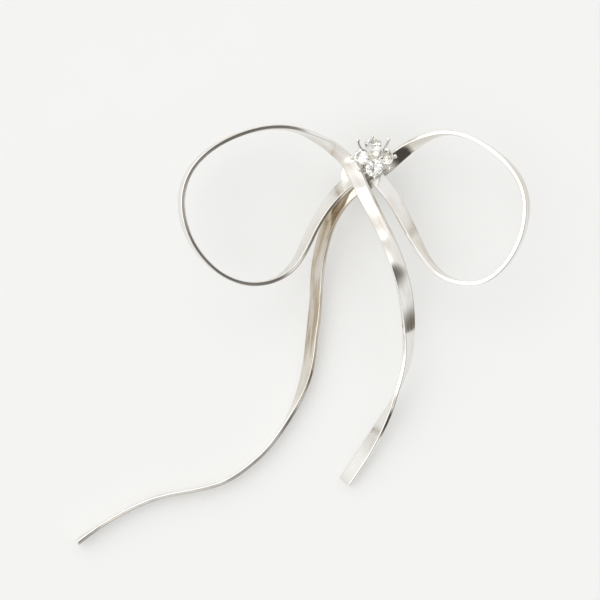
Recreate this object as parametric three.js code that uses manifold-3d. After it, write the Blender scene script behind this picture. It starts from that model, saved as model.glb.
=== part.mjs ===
/**
 * Bow brooch of flat silver wire, with a four-stone flower at its knot and a
 * locking tack fastener behind it.
 *
 * Units are millimetres. The brooch lies face up: +Z is the way its front
 * faces, +Y runs from the tails to the loops and +X to the right of the bow.
 * The origin is the middle of the fastener's back face, the lowest flat the
 * brooch rests on.
 */
import * as THREE from 'three';
import { mergeVertices } from 'three/addons/utils/BufferGeometryUtils.js';
import Module from 'manifold-3d';

const wasm = await Module();
wasm.setup();

// ---------------------------------------------------------------- sizes ---

const TURN = 2 * Math.PI;
const RIGHT_ANGLE = Math.PI / 2;
const DEGREE = Math.PI / 180;

/** Free play between pieces that are soldered or pressed together. */
const SEAM = 0.03;
/** Free play between pieces that slide on each other. */
const RUNNING = 0.1;

/** How far the loops and the tails reach from the knot. */
const BOW = { loopReach: 30, tailReach: 78 };
const RIBBON = { width: 2.5, thickness: 0.73, corner: 0.12, step: 1.7 };

const CLUTCH = {
  height: 5.0,
  flangeThickness: 0.6,
  flangeWidth: 0.85,
  sleeveWall: 0.45,
  coneSlope: 0.5,
  coneBelowFlange: 0.1,
  sleeveBottom: 1.3,
  edge: 0.12,
};
const CAP = {
  wall: 0.4,
  floor: 0.35,
  lip: 0.2,
  lipHeight: 0.5,
  lipEdge: 0.1,
  gapToFlange: 0.3,
  gapToSleeve: 0.25,
  chamfer: 0.25,
};
const PULL_TRAVEL = 0.5;

const POST = { radius: 0.5, padRadius: 2.0, padThickness: 0.3, tipRadius: 0.12, tipLength: 0.6 };
/** Height of the tack's point above the cap's floor. */
const POST_TIP_CLEARANCE = 0.25;
/** Room for the cloth's thickness between the fastener and the tack's pad. */
const CLOTH_GAP = 0.2;

const CAGE = {
  boreGap: 0.12,
  wall: 0.43,
  belowCone: 0.3,
  collarWidth: 0.45,
  collarThickness: 0.25,
  collarPlay: 0.15,
  pocketPlay: 0.04,
};
const BALL = { radius: 0.38, count: 3, gap: 0.04 };
const RETAINER_THICKNESS = 0.3;
const SPRING = { wire: 0.16, turns: 2.5, pitch: 2, sides: 8, stepsPerTurn: 18 };

const PLATE = { thickness: 0.6, knotRadius: 3.0, flowerRadius: 1.7, bevel: 0.12 };

/** The flower's place by the strand that crosses the knot: where along it, and how far over and below it. */
const FLOWER = { along: 0.83, overStrand: 0.31, belowStrand: 0.27, tilt: 15 * DEGREE };
const STONE = {
  diameter: 2.8,
  count: 4,
  lean: 30 * DEGREE,
  spacing: 0.17,
  table: 0.56,
  crown: 0.15,
  girdle: 0.05,
  pavilion: 0.41,
  startAngle: 2 * DEGREE,
  culetRoom: 0.95,
};
const BASKET = {
  wall: 0.38,
  belowGirdle: 0.45,
  baseRadius: 1.8,
  floor: 0.35,
  rimMargin: 1.59 * DEGREE,
  rimBand: 0.17,
  seatPlay: 0.06,
};
/** Round windows through the gallery under its rim band, two between each pair of prongs. */
const WINDOW = { radius: 0.42, besideShortProng: 22 * DEGREE, besideLongProng: 23 * DEGREE };
const BEAD = { radius: 0.42, stemRadius: 0.24, above: -0.05 };
const PRONG = {
  wire: 0.21,
  longBall: 0.36,
  longFlare: 0.55,
  longReach: 2.2,
  shortBall: 0.27,
  shortReach: 0.6,
  besideGap: 0.16,
  sides: 8,
  steps: 9,
};
const SEAT_POST = { radius: 0.55, clearOfStrand: 0.1 };

const ROUND_SEGMENTS = 32;

// ------------------------------------------------------- derived heights ---

const FLANGE_BOTTOM = CLUTCH.height - CLUTCH.flangeThickness;
const PAD_BOTTOM = CLUTCH.height + CLOTH_GAP;
const PLATE_BOTTOM = PAD_BOTTOM + POST.padThickness + SEAM;
const PLATE_TOP = PLATE_BOTTOM + PLATE.thickness;
const CAGE_BORE = POST.radius + CAGE.boreGap;
const CAGE_RADIUS = CAGE_BORE + CAGE.wall;
const COLLAR_RADIUS = CAGE_RADIUS + CAGE.collarWidth;
const CLUTCH_BORE = COLLAR_RADIUS + CAGE.collarPlay;
const SLEEVE_RADIUS = CLUTCH_BORE + CLUTCH.sleeveWall;
const FLANGE_RADIUS = SLEEVE_RADIUS + CLUTCH.flangeWidth;
const CONE_TOP = FLANGE_BOTTOM - CLUTCH.coneBelowFlange;
const CONE_TOP_RADIUS = CAGE_RADIUS + RUNNING - CAGE.belowCone * CLUTCH.coneSlope;
const CONE_BOTTOM = CONE_TOP - (CLUTCH_BORE - CONE_TOP_RADIUS) / CLUTCH.coneSlope;
const BALL_ORBIT = POST.radius + BALL.radius + BALL.gap;
const CONE_HALF_ANGLE = Math.atan(CLUTCH.coneSlope);
/** How far out the cone's wall must be, level with a ball's centre, to clear the ball. */
const CONE_AT_BALL = BALL_ORBIT + (BALL.radius + SEAM) / Math.cos(CONE_HALF_ANGLE);
const BALL_HEIGHT = CONE_TOP - (CONE_AT_BALL - CONE_TOP_RADIUS) / CLUTCH.coneSlope;
const RETAINER_TOP = CLUTCH.sleeveBottom + RETAINER_THICKNESS;
const SPRING_HEIGHT = SPRING.wire * SPRING.pitch * SPRING.turns + 0.2;
const COLLAR_BOTTOM = RETAINER_TOP + SPRING_HEIGHT;

/** Radius of the ball on which the four stones' girdles are centred. */
const STONE_RING = (STONE.diameter + STONE.spacing) / (2 * Math.sin(Math.PI / STONE.count));
const DOME_RADIUS = STONE_RING / Math.sin(STONE.lean);
const STONE_DEPTH = STONE.diameter * (STONE.pavilion + STONE.girdle / 2);
/** Centre of that ball, above the flower's base: it keeps the culets off the basket's floor. */
const DOME_CENTRE = BASKET.floor + STONE.culetRoom - (DOME_RADIUS - STONE_DEPTH) * Math.cos(STONE.lean);
const DOME_OUTER = DOME_RADIUS - BASKET.belowGirdle;
const SEAT_HOLE_RADIUS = pavilionRadius(BASKET.belowGirdle) + BASKET.seatPlay;
/** The basket's rim, as an angle down from the flower's axis, leaves metal beyond the stones' seats. */
const RIM_ANGLE = STONE.lean + Math.asin(SEAT_HOLE_RADIUS / DOME_OUTER) + BASKET.rimMargin;
const RIM_RADIUS = DOME_OUTER * Math.sin(RIM_ANGLE);
const RIM_HEIGHT = DOME_CENTRE + DOME_OUTER * Math.cos(RIM_ANGLE);

// ------------------------------------------------------------ ribbon runs ---

/** The sizes that the rows below are laid out for. */
const LAYOUT = { loopReach: 30, tailReach: 78, width: 2.5, thickness: 0.73, plateTop: 6.13 };
/** Inside this distance the knot keeps its own size; by twice the distance the bow has its full reach. */
const KNOT_CORE = 9;
/** Leans of the strands that lie under each stretch where it crosses the knot, lowest first. */
const UNDER = { rightStrand: [], roots: [94], leftStrand: [94, 58] };

/**
 * Each row is a place on a ribbon's middle line, x, y and z, and its lean: the
 * turn in degrees of the ribbon's width from upright towards the right of the
 * run. 0 stands on edge and 90 lies flat. A ribbon is its tail, up to and over
 * the knot, then its loop, back to its root at the knot.
 */
const LEFT_TAIL = [
  [-2.2, -51.6, 1.0, 232],
  [0.6, -47.4, 1.7, 234],
  [3.2, -43.0, 2.4, 222],
  [5.3, -39.1, 3.0, 195],
  [6.8, -35.4, 3.6, 172],
  [8.0, -31.4, 4.2, 157],
  [8.4, -27.3, 4.9, 141],
  [8.2, -22.8, 5.7, 118],
  [7.4, -18.0, 6.5, 104],
  [5.9, -13.2, 7.4, 78],
  [4.0, -9.0, 8.2, 60],
  [1.9, -5.0, 8.8, 60],
  [0.2, -1.6, 9.3, 62],
  [-1.4, 1.6, 9.3, 62],
];
const LEFT_LOOP = [
  [-3.7, 4.0, 9.2, 49],
  [-7.0, 6.1, 9.4, 24],
  [-10.3, 7.5, 9.8, 6],
  [-14.2, 7.9, 10.4, 0],
  [-18.2, 7.2, 10.9, -3],
  [-22.0, 5.7, 11.5, -6],
  [-25.3, 3.6, 12.0, -11],
  [-27.9, 0.7, 12.4, -15],
  [-29.3, -3.0, 12.6, -17],
  [-29.2, -7.0, 12.5, -15],
  [-27.7, -11.2, 12.1, -11],
  [-25.0, -14.7, 11.6, -5],
  [-21.5, -17.2, 11.0, -2],
  [-17.6, -18.1, 10.2, 0],
  [-14.0, -17.4, 9.5, 5],
  [-11.2, -15.3, 8.9, 20],
  [-9.3, -12.3, 8.5, 31],
  [-7.8, -9.1, 8.2, 36],
  [-6.0, -6.0, 7.9, 38],
  [-3.9, -3.2, 7.7, 47],
  [-1.6, -1.0, 7.5, 56],
  [-0.2, 0.1, 7.45, 60],
];

const RIGHT_TAIL = [
  [-47.6, -61.8, 1.4, 8],
  [-43.6, -59.0, 1.3, 2],
  [-39.1, -56.4, 1.3, 0],
  [-34.0, -54.3, 1.3, 0],
  [-28.4, -53.1, 1.3, 0],
  [-23.1, -51.7, 1.3, 0],
  [-18.7, -49.0, 1.3, 0],
  [-15.0, -45.5, 1.3, 0],
  [-12.0, -41.2, 1.35, 6],
  [-9.9, -37.0, 1.45, 22],
  [-8.5, -32.3, 1.6, 40],
  [-7.8, -27.0, 1.9, 47],
  [-7.2, -21.3, 2.4, 49],
  [-6.9, -16.0, 3.2, 50],
  [-6.0, -11.0, 4.5, 54],
  [-4.2, -6.3, 5.8, 60],
  [-1.7, -3.0, 6.75, 76],
  [1.2, -0.8, 6.9, 94],
  [4.2, 1.4, 6.95, 105],
];
const RIGHT_LOOP = [
  [7.2, 3.9, 7.2, 122],
  [10.5, 6.0, 7.7, 154],
  [14.2, 7.1, 8.3, 177],
  [18.2, 6.4, 8.9, 186],
  [21.9, 4.3, 9.5, 191],
  [25.1, 1.4, 10.0, 196],
  [27.2, -2.3, 10.3, 199],
  [27.6, -6.6, 10.3, 198],
  [26.4, -11.4, 10.0, 193],
  [23.8, -15.4, 9.6, 188],
  [20.4, -17.7, 9.1, 182],
  [16.7, -17.8, 8.6, 176],
  [13.4, -16.3, 8.3, 163],
  [10.9, -13.5, 8.1, 150],
  [9.2, -10.4, 8.0, 134],
  [7.65, -7.4, 8.0, 126],
  [5.95, -4.3, 8.0, 118],
  [4.2, -1.9, 7.95, 110],
  [2.95, -0.35, 7.9, 105],
];

/** How much taller a strand at a lean stands for the wire's own size. */
function growth(lean) {
  const wider = Math.abs(Math.cos(lean * DEGREE)) * (RIBBON.width - LAYOUT.width);
  const thicker = Math.abs(Math.sin(lean * DEGREE)) * (RIBBON.thickness - LAYOUT.thickness);
  return wider + thicker;
}

/** How far strands at these leans lift what lies on them. */
function liftOf(leans) {
  return leans.reduce((total, lean) => total + growth(lean), PLATE_TOP - LAYOUT.plateTop);
}

/** Rows set out from the knot to a reach, and lifted onto what lies under them at their start and end. */
function laidOut(rows, reach, underStart, underEnd) {
  return rows.map(([x, y, z, lean], i) => {
    const share = THREE.MathUtils.smoothstep(Math.hypot(x, y), KNOT_CORE, 2 * KNOT_CORE);
    const stretch = 1 + (reach - 1) * share;
    const lift = THREE.MathUtils.lerp(liftOf(underStart), liftOf(underEnd), i / (rows.length - 1));
    return [x * stretch, y * stretch, z + lift + growth(lean) / 2, lean];
  });
}

/** A whole ribbon's rows: its tail and then its loop. */
function wholeRun(tail, loop, under) {
  return [
    ...laidOut(tail, BOW.tailReach / LAYOUT.tailReach, under, under),
    ...laidOut(loop, BOW.loopReach / LAYOUT.loopReach, under, UNDER.roots),
  ];
}

const LEFT_RUN = wholeRun(LEFT_TAIL, LEFT_LOOP, UNDER.leftStrand);
const RIGHT_RUN = wholeRun(RIGHT_TAIL, RIGHT_LOOP, UNDER.rightStrand);

// ------------------------------------------------------- the flower's place ---

const [STRAND_START, STRAND_END] = LEFT_RUN.slice(LEFT_TAIL.length - 2, LEFT_TAIL.length);
const STRAND_MIDDLE = new THREE.Vector2(...STRAND_START).lerp(new THREE.Vector2(...STRAND_END), 0.5);
const STRAND_WAY = new THREE.Vector2(...STRAND_END).sub(new THREE.Vector2(...STRAND_START)).normalize();
const STRAND_SIDE = new THREE.Vector2(STRAND_WAY.y, -STRAND_WAY.x);
const STRAND_LEAN = STRAND_END[3] * DEGREE;
const STRAND_HALF = (RIBBON.width * Math.sin(STRAND_LEAN) + RIBBON.thickness * Math.cos(STRAND_LEAN)) / 2;
const FLOWER_PLACE = STRAND_MIDDLE.clone()
  .addScaledVector(STRAND_SIDE, STRAND_HALF + RIM_RADIUS - FLOWER.overStrand)
  .addScaledVector(STRAND_WAY, FLOWER.along);
const FLOWER_Z = (STRAND_START[2] + STRAND_END[2]) / 2 - FLOWER.belowStrand;

/** The pillar stands clear of the lowest strand, under the flower or a little to its side. */
const LOW_START = new THREE.Vector2(...RIGHT_RUN[RIGHT_TAIL.length - 2]);
const LOW_WAY = new THREE.Vector2(...RIGHT_RUN[RIGHT_TAIL.length - 1]).sub(LOW_START).normalize();
const LOW_SIDE = new THREE.Vector2(-LOW_WAY.y, LOW_WAY.x);
const PILLAR_AWAY = FLOWER_PLACE.clone().sub(LOW_START).dot(LOW_SIDE);
const PILLAR_CLEAR = RIBBON.width / 2 + SEAT_POST.clearOfStrand + SEAT_POST.radius;
const PILLAR_SHIFT = LOW_SIDE.clone().multiplyScalar(Math.max(0, PILLAR_CLEAR - PILLAR_AWAY));
const PILLAR_PLACE = FLOWER_PLACE.clone().add(PILLAR_SHIFT);

// --------------------------------------------------------------- helpers ---

/** A natural cubic spline through rows of numbers, measured along the chords of their x, y and z. */
class SmoothRun {
  constructor(rows) {
    this.rows = rows;
    this.knots = [0];
    for (let i = 1; i < rows.length; i += 1) {
      const [a, b] = [rows[i - 1], rows[i]];
      this.knots.push(this.knots[i - 1] + Math.hypot(b[0] - a[0], b[1] - a[1], b[2] - a[2]));
    }
    this.bends = rows[0].map((_, column) => this.bendsOf(column));
  }

  get length() {
    return this.knots[this.knots.length - 1];
  }

  /** Second derivatives of one column at every knot, zero at both ends. */
  bendsOf(column) {
    const { rows, knots } = this;
    const last = rows.length - 1;
    const ratio = [0];
    const value = [0];
    for (let i = 1; i < last; i += 1) {
      const before = knots[i] - knots[i - 1];
      const after = knots[i + 1] - knots[i];
      const slopeBefore = (rows[i][column] - rows[i - 1][column]) / before;
      const slopeAfter = (rows[i + 1][column] - rows[i][column]) / after;
      const pivot = 2 * (before + after) - before * ratio[i - 1];
      ratio.push(after / pivot);
      value.push((6 * (slopeAfter - slopeBefore) - before * value[i - 1]) / pivot);
    }
    const bends = new Array(rows.length).fill(0);
    for (let i = last - 1; i > 0; i -= 1) {
      bends[i] = value[i] - ratio[i] * bends[i + 1];
    }
    return bends;
  }

  /** Every column's value at a distance along the run. */
  at(distance) {
    const { rows, knots, bends } = this;
    let i = 1;
    while (i < rows.length - 1 && knots[i] < distance) {
      i += 1;
    }
    const span = knots[i] - knots[i - 1];
    const back = (knots[i] - distance) / span;
    const ahead = 1 - back;
    const share = span ** 2 / 6;
    const backBend = (back ** 3 - back) * share;
    const aheadBend = (ahead ** 3 - ahead) * share;
    return rows[i].map((end, column) => {
      const straight = back * rows[i - 1][column] + ahead * end;
      return straight + backBend * bends[column][i - 1] + aheadBend * bends[column][i];
    });
  }
}

/** Signed volume of an indexed geometry, positive when its faces point out. */
function volumeOf(geometry) {
  const place = geometry.attributes.position;
  const corners = [new THREE.Vector3(), new THREE.Vector3(), new THREE.Vector3()];
  let total = 0;
  for (let i = 0; i < geometry.index.count; i += 3) {
    corners.forEach((corner, k) => corner.fromBufferAttribute(place, geometry.index.getX(i + k)));
    total += corners[0].dot(corners[1].clone().cross(corners[2])) / 6;
  }
  return total;
}

/** The geometry with shared vertices merged, empty faces dropped and its faces pointing out. */
function closed(geometry) {
  const bare = geometry.clone();
  bare.deleteAttribute('normal');
  bare.deleteAttribute('uv');
  const merged = mergeVertices(bare, 1e-4);
  const faces = [];
  for (let i = 0; i < merged.index.count; i += 3) {
    const [a, b, c] = [merged.index.getX(i), merged.index.getX(i + 1), merged.index.getX(i + 2)];
    if (a !== b && b !== c && c !== a) {
      faces.push(a, b, c);
    }
  }
  merged.setIndex(faces);
  if (volumeOf(merged) < 0) {
    for (let i = 0; i < faces.length; i += 3) {
      [faces[i + 1], faces[i + 2]] = [faces[i + 2], faces[i + 1]];
    }
    merged.setIndex(faces);
  }
  merged.computeVertexNormals();
  return merged;
}

/** A solid for cutting and joining, from a geometry. */
function solidOf(geometry) {
  const shell = closed(geometry);
  return new wasm.Manifold(
    new wasm.Mesh({
      numProp: 3,
      vertProperties: new Float32Array(shell.attributes.position.array),
      triVerts: new Uint32Array(shell.index.array),
    }),
  );
}

/** A geometry, from a solid. */
function geometryOf(solid) {
  const mesh = solid.getMesh();
  const geometry = new THREE.BufferGeometry();
  geometry.setAttribute('position', new THREE.BufferAttribute(new Float32Array(mesh.vertProperties), 3));
  geometry.setIndex(Array.from(mesh.triVerts));
  return closed(geometry);
}

/** A turned solid about Z, from [radius, height] pairs. */
function turned(profile, segments = ROUND_SEGMENTS) {
  const points = profile.map(([radius, height]) => new THREE.Vector2(radius, height));
  return closed(new THREE.LatheGeometry(points, segments).rotateX(RIGHT_ANGLE));
}

/** A ring's closed profile between two radii and two heights. */
function ringProfile(inner, outer, bottom, top) {
  return [
    [inner, bottom],
    [outer, bottom],
    [outer, top],
    [inner, top],
    [inner, bottom],
  ];
}

/** A round bar between two points, with its own radius at its start where it tapers. */
function bar(from, to, radius, segments = 16, startRadius = radius) {
  const along = to.clone().sub(from);
  const geometry = new THREE.CylinderGeometry(radius, startRadius, along.length(), segments);
  const upright = new THREE.Vector3(0, 1, 0);
  geometry.applyQuaternion(new THREE.Quaternion().setFromUnitVectors(upright, along.clone().normalize()));
  return geometry.translate(...from.clone().add(to).multiplyScalar(0.5).toArray());
}

/** A ball at a point. */
function ball(centre, radius, segments = 12) {
  return new THREE.SphereGeometry(radius, segments, segments * 0.75).translate(...centre.toArray());
}

/** A place on a ball about the flower's axis: the angle down from its top and the angle round it. */
function onDome(radius, down, round) {
  return new THREE.Vector3(
    radius * Math.sin(down) * Math.cos(round),
    radius * Math.sin(down) * Math.sin(round),
    DOME_CENTRE + radius * Math.cos(down),
  );
}

/** A round bar's outline for sweeping along a path. */
function wireOutline(radius, sides) {
  const corners = Array.from({ length: sides }, (_, k) => {
    const angle = (TURN * k) / sides;
    return new THREE.Vector2(radius * Math.cos(angle), radius * Math.sin(angle));
  });
  return new THREE.Shape(corners);
}

/** A wire along a path. */
function wireAlong(path, radius, sides, steps) {
  const outline = wireOutline(radius, sides);
  return new THREE.ExtrudeGeometry(outline, { extrudePath: path, steps, bevelEnabled: false });
}

// --------------------------------------------------------------- ribbons ---

/** The ribbon's section: [across its width, through its thickness], with its corners eased. */
function ribbonSection() {
  const half = RIBBON.width / 2;
  const deep = RIBBON.thickness / 2;
  const ease = RIBBON.corner;
  const quarter = [
    [half, deep - ease],
    [half - ease, deep],
  ];
  const left = quarter.map(([w, t]) => [-w, t]).reverse();
  const upper = [...quarter, ...left];
  return [...upper, ...upper.map(([w, t]) => [-w, -t])];
}

/** A flat wire along a run, turning with the run's lean. */
function ribbon(rows) {
  const run = new SmoothRun(rows);
  const section = ribbonSection();
  const steps = Math.round(run.length / RIBBON.step);
  const up = new THREE.Vector3(0, 0, 1);
  const nudge = run.length * 1e-4;
  const places = [];
  for (let i = 0; i <= steps; i += 1) {
    const distance = (run.length * i) / steps;
    const [x, y, z, lean] = run.at(distance);
    const ahead = new THREE.Vector3(...run.at(Math.min(distance + nudge, run.length)));
    const behind = new THREE.Vector3(...run.at(Math.max(distance - nudge, 0)));
    const tangent = ahead.sub(behind).normalize();
    const side = tangent.clone().cross(up).normalize();
    const upright = side.clone().cross(tangent);
    const turn = lean * DEGREE;
    const width = upright.multiplyScalar(Math.cos(turn)).addScaledVector(side, Math.sin(turn));
    const normal = tangent.clone().cross(width);
    section.forEach(([w, t]) => {
      const corner = new THREE.Vector3(x, y, z).addScaledVector(width, w).addScaledVector(normal, t);
      places.push(...corner.toArray());
    });
  }
  const geometry = new THREE.BufferGeometry();
  geometry.setAttribute('position', new THREE.Float32BufferAttribute(places, 3));
  geometry.setIndex(sweptFaces(section.length, steps));
  return closed(geometry);
}

/** Faces of a sweep: its sides, and a fan across each end. */
function sweptFaces(sides, steps) {
  const faces = [];
  for (let i = 0; i < steps; i += 1) {
    for (let k = 0; k < sides; k += 1) {
      const here = i * sides + k;
      const beside = i * sides + ((k + 1) % sides);
      faces.push(here, beside, beside + sides, here, beside + sides, here + sides);
    }
  }
  const last = steps * sides;
  for (let k = 1; k < sides - 1; k += 1) {
    faces.push(0, k + 1, k, last, last + k, last + k + 1);
  }
  return faces;
}

// ---------------------------------------------------------- knot and post ---

/** The plate behind the knot: two round ends, one under the knot and one under the flower. */
function knotPlate() {
  const span = PILLAR_PLACE.length();
  const heading = PILLAR_PLACE.angle();
  const flare = Math.acos((PLATE.knotRadius - PLATE.flowerRadius) / span);
  const outline = new THREE.Shape();
  const knotEnd = PLATE.knotRadius - PLATE.bevel;
  const flowerEnd = PLATE.flowerRadius - PLATE.bevel;
  outline.absarc(0, 0, knotEnd, heading + flare, heading - flare + TURN, false);
  outline.absarc(PILLAR_PLACE.x, PILLAR_PLACE.y, flowerEnd, heading - flare, heading + flare, false);
  const geometry = new THREE.ExtrudeGeometry(outline, {
    depth: PLATE.thickness - 2 * PLATE.bevel,
    bevelThickness: PLATE.bevel,
    bevelSize: PLATE.bevel,
    bevelSegments: 1,
    curveSegments: 14,
  });
  return closed(geometry.translate(0, 0, PLATE_BOTTOM + PLATE.bevel));
}

/** The tack: a round pad with a pointed pin below it. */
function tackPost() {
  const tip = CAP.floor + POST_TIP_CLEARANCE;
  return turned([
    [0, tip],
    [POST.tipRadius, tip + 0.03],
    [POST.radius, tip + POST.tipLength],
    [POST.radius, PAD_BOTTOM],
    [POST.padRadius, PAD_BOTTOM],
    [POST.padRadius, PAD_BOTTOM + POST.padThickness],
    [0, PAD_BOTTOM + POST.padThickness],
  ]);
}

/** The pillar that carries the flower, with a domed top under the tilted basket. */
function seatPost() {
  const slope = Math.tan(FLOWER.tilt);
  const dome = SEAT_POST.radius * slope + SEAM;
  const top = FLOWER_Z - PILLAR_SHIFT.y * slope - SEAM / Math.cos(FLOWER.tilt);
  const profile = [
    [0, PLATE_TOP + SEAM],
    [SEAT_POST.radius, PLATE_TOP + SEAM],
    [SEAT_POST.radius, top - dome],
    [0, top],
  ];
  return turned(profile, 20).translate(PILLAR_PLACE.x, PILLAR_PLACE.y, 0);
}

// ---------------------------------------------------------------- flower ---

/** A round brilliant with its girdle's middle at the origin and its table towards +Z. */
function brilliant(diameter) {
  const radius = diameter / 2;
  const halfGirdle = (diameter * STONE.girdle) / 2;
  const tableHeight = halfGirdle + diameter * STONE.crown;
  const culet = -halfGirdle - diameter * STONE.pavilion;
  const eighth = TURN / 8;
  const flat = Math.cos(eighth / 2);
  const tableRadius = radius * STONE.table;
  const crownShare = 0.5;
  const crownRadius = (tableRadius + (radius - tableRadius) * crownShare) / flat;
  const crownHeight = tableHeight + (halfGirdle - tableHeight) * crownShare;
  const lowerShare = 0.24;
  const lowerRadius = (radius * lowerShare) / flat;
  const lowerHeight = culet + (-halfGirdle - culet) * lowerShare;
  const places = [];
  const rim = (count, r, z, offset) => {
    const first = places.length / 3;
    for (let k = 0; k < count; k += 1) {
      const angle = (TURN * (k + offset)) / count;
      places.push(r * Math.cos(angle), r * Math.sin(angle), z);
    }
    return (k) => first + (((k % count) + count) % count);
  };
  const table = rim(8, tableRadius, tableHeight, 0);
  const crown = rim(8, crownRadius, crownHeight, 0.5);
  const upper = rim(16, radius, halfGirdle, 0);
  const lower = rim(16, radius, -halfGirdle, 0);
  const belly = rim(8, lowerRadius, lowerHeight, 0.5);
  const point = rim(1, 0, culet, 0)(0);
  const faces = [];
  for (let k = 1; k < 7; k += 1) {
    faces.push(table(0), table(k), table(k + 1));
  }
  for (let k = 0; k < 8; k += 1) {
    const g = 2 * k;
    faces.push(table(k), crown(k), table(k + 1));
    faces.push(table(k), crown(k - 1), upper(g), table(k), upper(g), crown(k));
    faces.push(crown(k), upper(g), upper(g + 1), crown(k), upper(g + 1), upper(g + 2));
    faces.push(belly(k), lower(g + 1), lower(g), belly(k), lower(g + 2), lower(g + 1));
    faces.push(point, lower(g), belly(k - 1), point, belly(k), lower(g));
  }
  for (let k = 0; k < 16; k += 1) {
    faces.push(upper(k), lower(k), lower(k + 1), upper(k), lower(k + 1), upper(k + 1));
  }
  const geometry = new THREE.BufferGeometry();
  geometry.setAttribute('position', new THREE.Float32BufferAttribute(places, 3));
  geometry.setIndex(faces);
  return closed(geometry);
}

/** Stone radius at a depth below its girdle's middle. */
function pavilionRadius(depth) {
  const half = STONE.diameter / 2;
  return half * (1 - (depth - (STONE.diameter * STONE.girdle) / 2) / (STONE.diameter * STONE.pavilion));
}

/** A dome of the basket on its foot, for turning: its foot's radius and height, then its arc. */
function domeProfile(footRadius, footHeight, domeRadius, rimAngle, steps = 5) {
  const arc = Array.from({ length: steps + 1 }, (_, i) => {
    const down = rimAngle * (1 - i / steps);
    return [domeRadius * Math.sin(down), DOME_CENTRE + domeRadius * Math.cos(down)];
  });
  return [[0, footHeight], [footRadius, footHeight], ...arc];
}

/** The basket's inside, for turning: it leaves the dome and the sloping gallery one wall thickness. */
function hollowProfile() {
  const inner = DOME_OUTER - BASKET.wall;
  const foot = new THREE.Vector2(BASKET.baseRadius, 0);
  const way = new THREE.Vector2(RIM_RADIUS, RIM_HEIGHT).sub(foot).normalize();
  const start = foot.addScaledVector(new THREE.Vector2(-way.y, way.x), BASKET.wall);
  const footRadius = start.x + (way.x / way.y) * (BASKET.floor - start.y);
  const from = new THREE.Vector2(start.x, start.y - DOME_CENTRE);
  const reach = Math.sqrt(from.dot(way) ** 2 - from.lengthSq() + inner ** 2) - from.dot(way);
  const rim = from.addScaledVector(way, reach);
  return domeProfile(footRadius, BASKET.floor, inner, Math.atan2(rim.x, rim.y));
}

/** The basket: a domed seat with a tapered hole for each stone, a pierced gallery and a floor. */
function basket() {
  const outerProfile = domeProfile(BASKET.baseRadius, 0, DOME_OUTER, RIM_ANGLE);
  let solid = solidOf(turned(outerProfile, 28)).subtract(solidOf(turned(hollowProfile(), 28)));
  const windowHeight = RIM_HEIGHT - BASKET.rimBand - WINDOW.radius;
  const axis = new THREE.Vector3(0, 0, windowHeight);
  for (let k = 0; k < STONE.count; k += 1) {
    const round = STONE.startAngle + (TURN * k) / STONE.count;
    const notch = round + Math.PI / STONE.count;
    const culet = onDome(DOME_RADIUS - STONE_DEPTH, STONE.lean, round);
    const girdle = onDome(DOME_RADIUS, STONE.lean, round);
    const mouth = pavilionRadius(0) + BASKET.seatPlay;
    solid = solid.subtract(solidOf(bar(culet, girdle, mouth, 24, BASKET.seatPlay)));
    [round + WINDOW.besideShortProng, notch + WINDOW.besideLongProng].forEach((angle) => {
      const beyond = 2 * DOME_OUTER;
      const outside = new THREE.Vector3(beyond * Math.cos(angle), beyond * Math.sin(angle), windowHeight);
      solid = solid.subtract(solidOf(bar(axis, outside, WINDOW.radius, 10)));
    });
  }
  const beadCentre = onDome(DOME_RADIUS + BEAD.above, 0, 0);
  const stem = bar(onDome(DOME_OUTER - BASKET.wall / 2, 0, 0), beadCentre, BEAD.stemRadius, 10);
  return geometryOf(solid.add(solidOf(stem)).add(solidOf(ball(beadCentre, BEAD.radius))));
}

/** A prong's wire and its ball end, along a path of [out, up] pairs in an upright plane. */
function prong(path, ballRadius) {
  const points = path.map(([out, height]) => new THREE.Vector3(out, 0, height));
  const curve = new THREE.CatmullRomCurve3(points);
  const wire = wireAlong(curve, PRONG.wire, PRONG.sides, PRONG.steps);
  return geometryOf(solidOf(wire).add(solidOf(ball(points[points.length - 1], ballRadius, 10))));
}

/** A prong's way up the outside of the gallery, from the basket's foot to its rim. */
function galleryPath() {
  const clear = PRONG.wire + 3 * SEAM;
  return [
    [BASKET.baseRadius + clear, 0.05],
    [(BASKET.baseRadius + RIM_RADIUS) / 2 + clear * 1.25, RIM_HEIGHT / 2],
    [RIM_RADIUS + clear, RIM_HEIGHT],
  ];
}

/** The long prong stands in the notch between two stones and flares past them. */
function longProng() {
  const path = galleryPath();
  const [out, height] = path[path.length - 1];
  return prong([...path, [out + PRONG.longFlare, height + PRONG.longReach]], PRONG.longBall);
}

/** The short prong stands at a stone's outer end and hugs it. */
function shortProng() {
  const reach = STONE_RING + (STONE.diameter / 2) * Math.cos(STONE.lean);
  const edge = DOME_CENTRE + DOME_RADIUS * Math.cos(STONE.lean) - (STONE.diameter / 2) * Math.sin(STONE.lean);
  const beside = [reach + PRONG.wire + PRONG.besideGap, edge];
  const tip = [reach + PRONG.wire + SEAM, edge + PRONG.shortReach];
  return prong([...galleryPath(), beside, tip], PRONG.shortBall);
}

// ---------------------------------------------------------------- clutch ---

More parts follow.
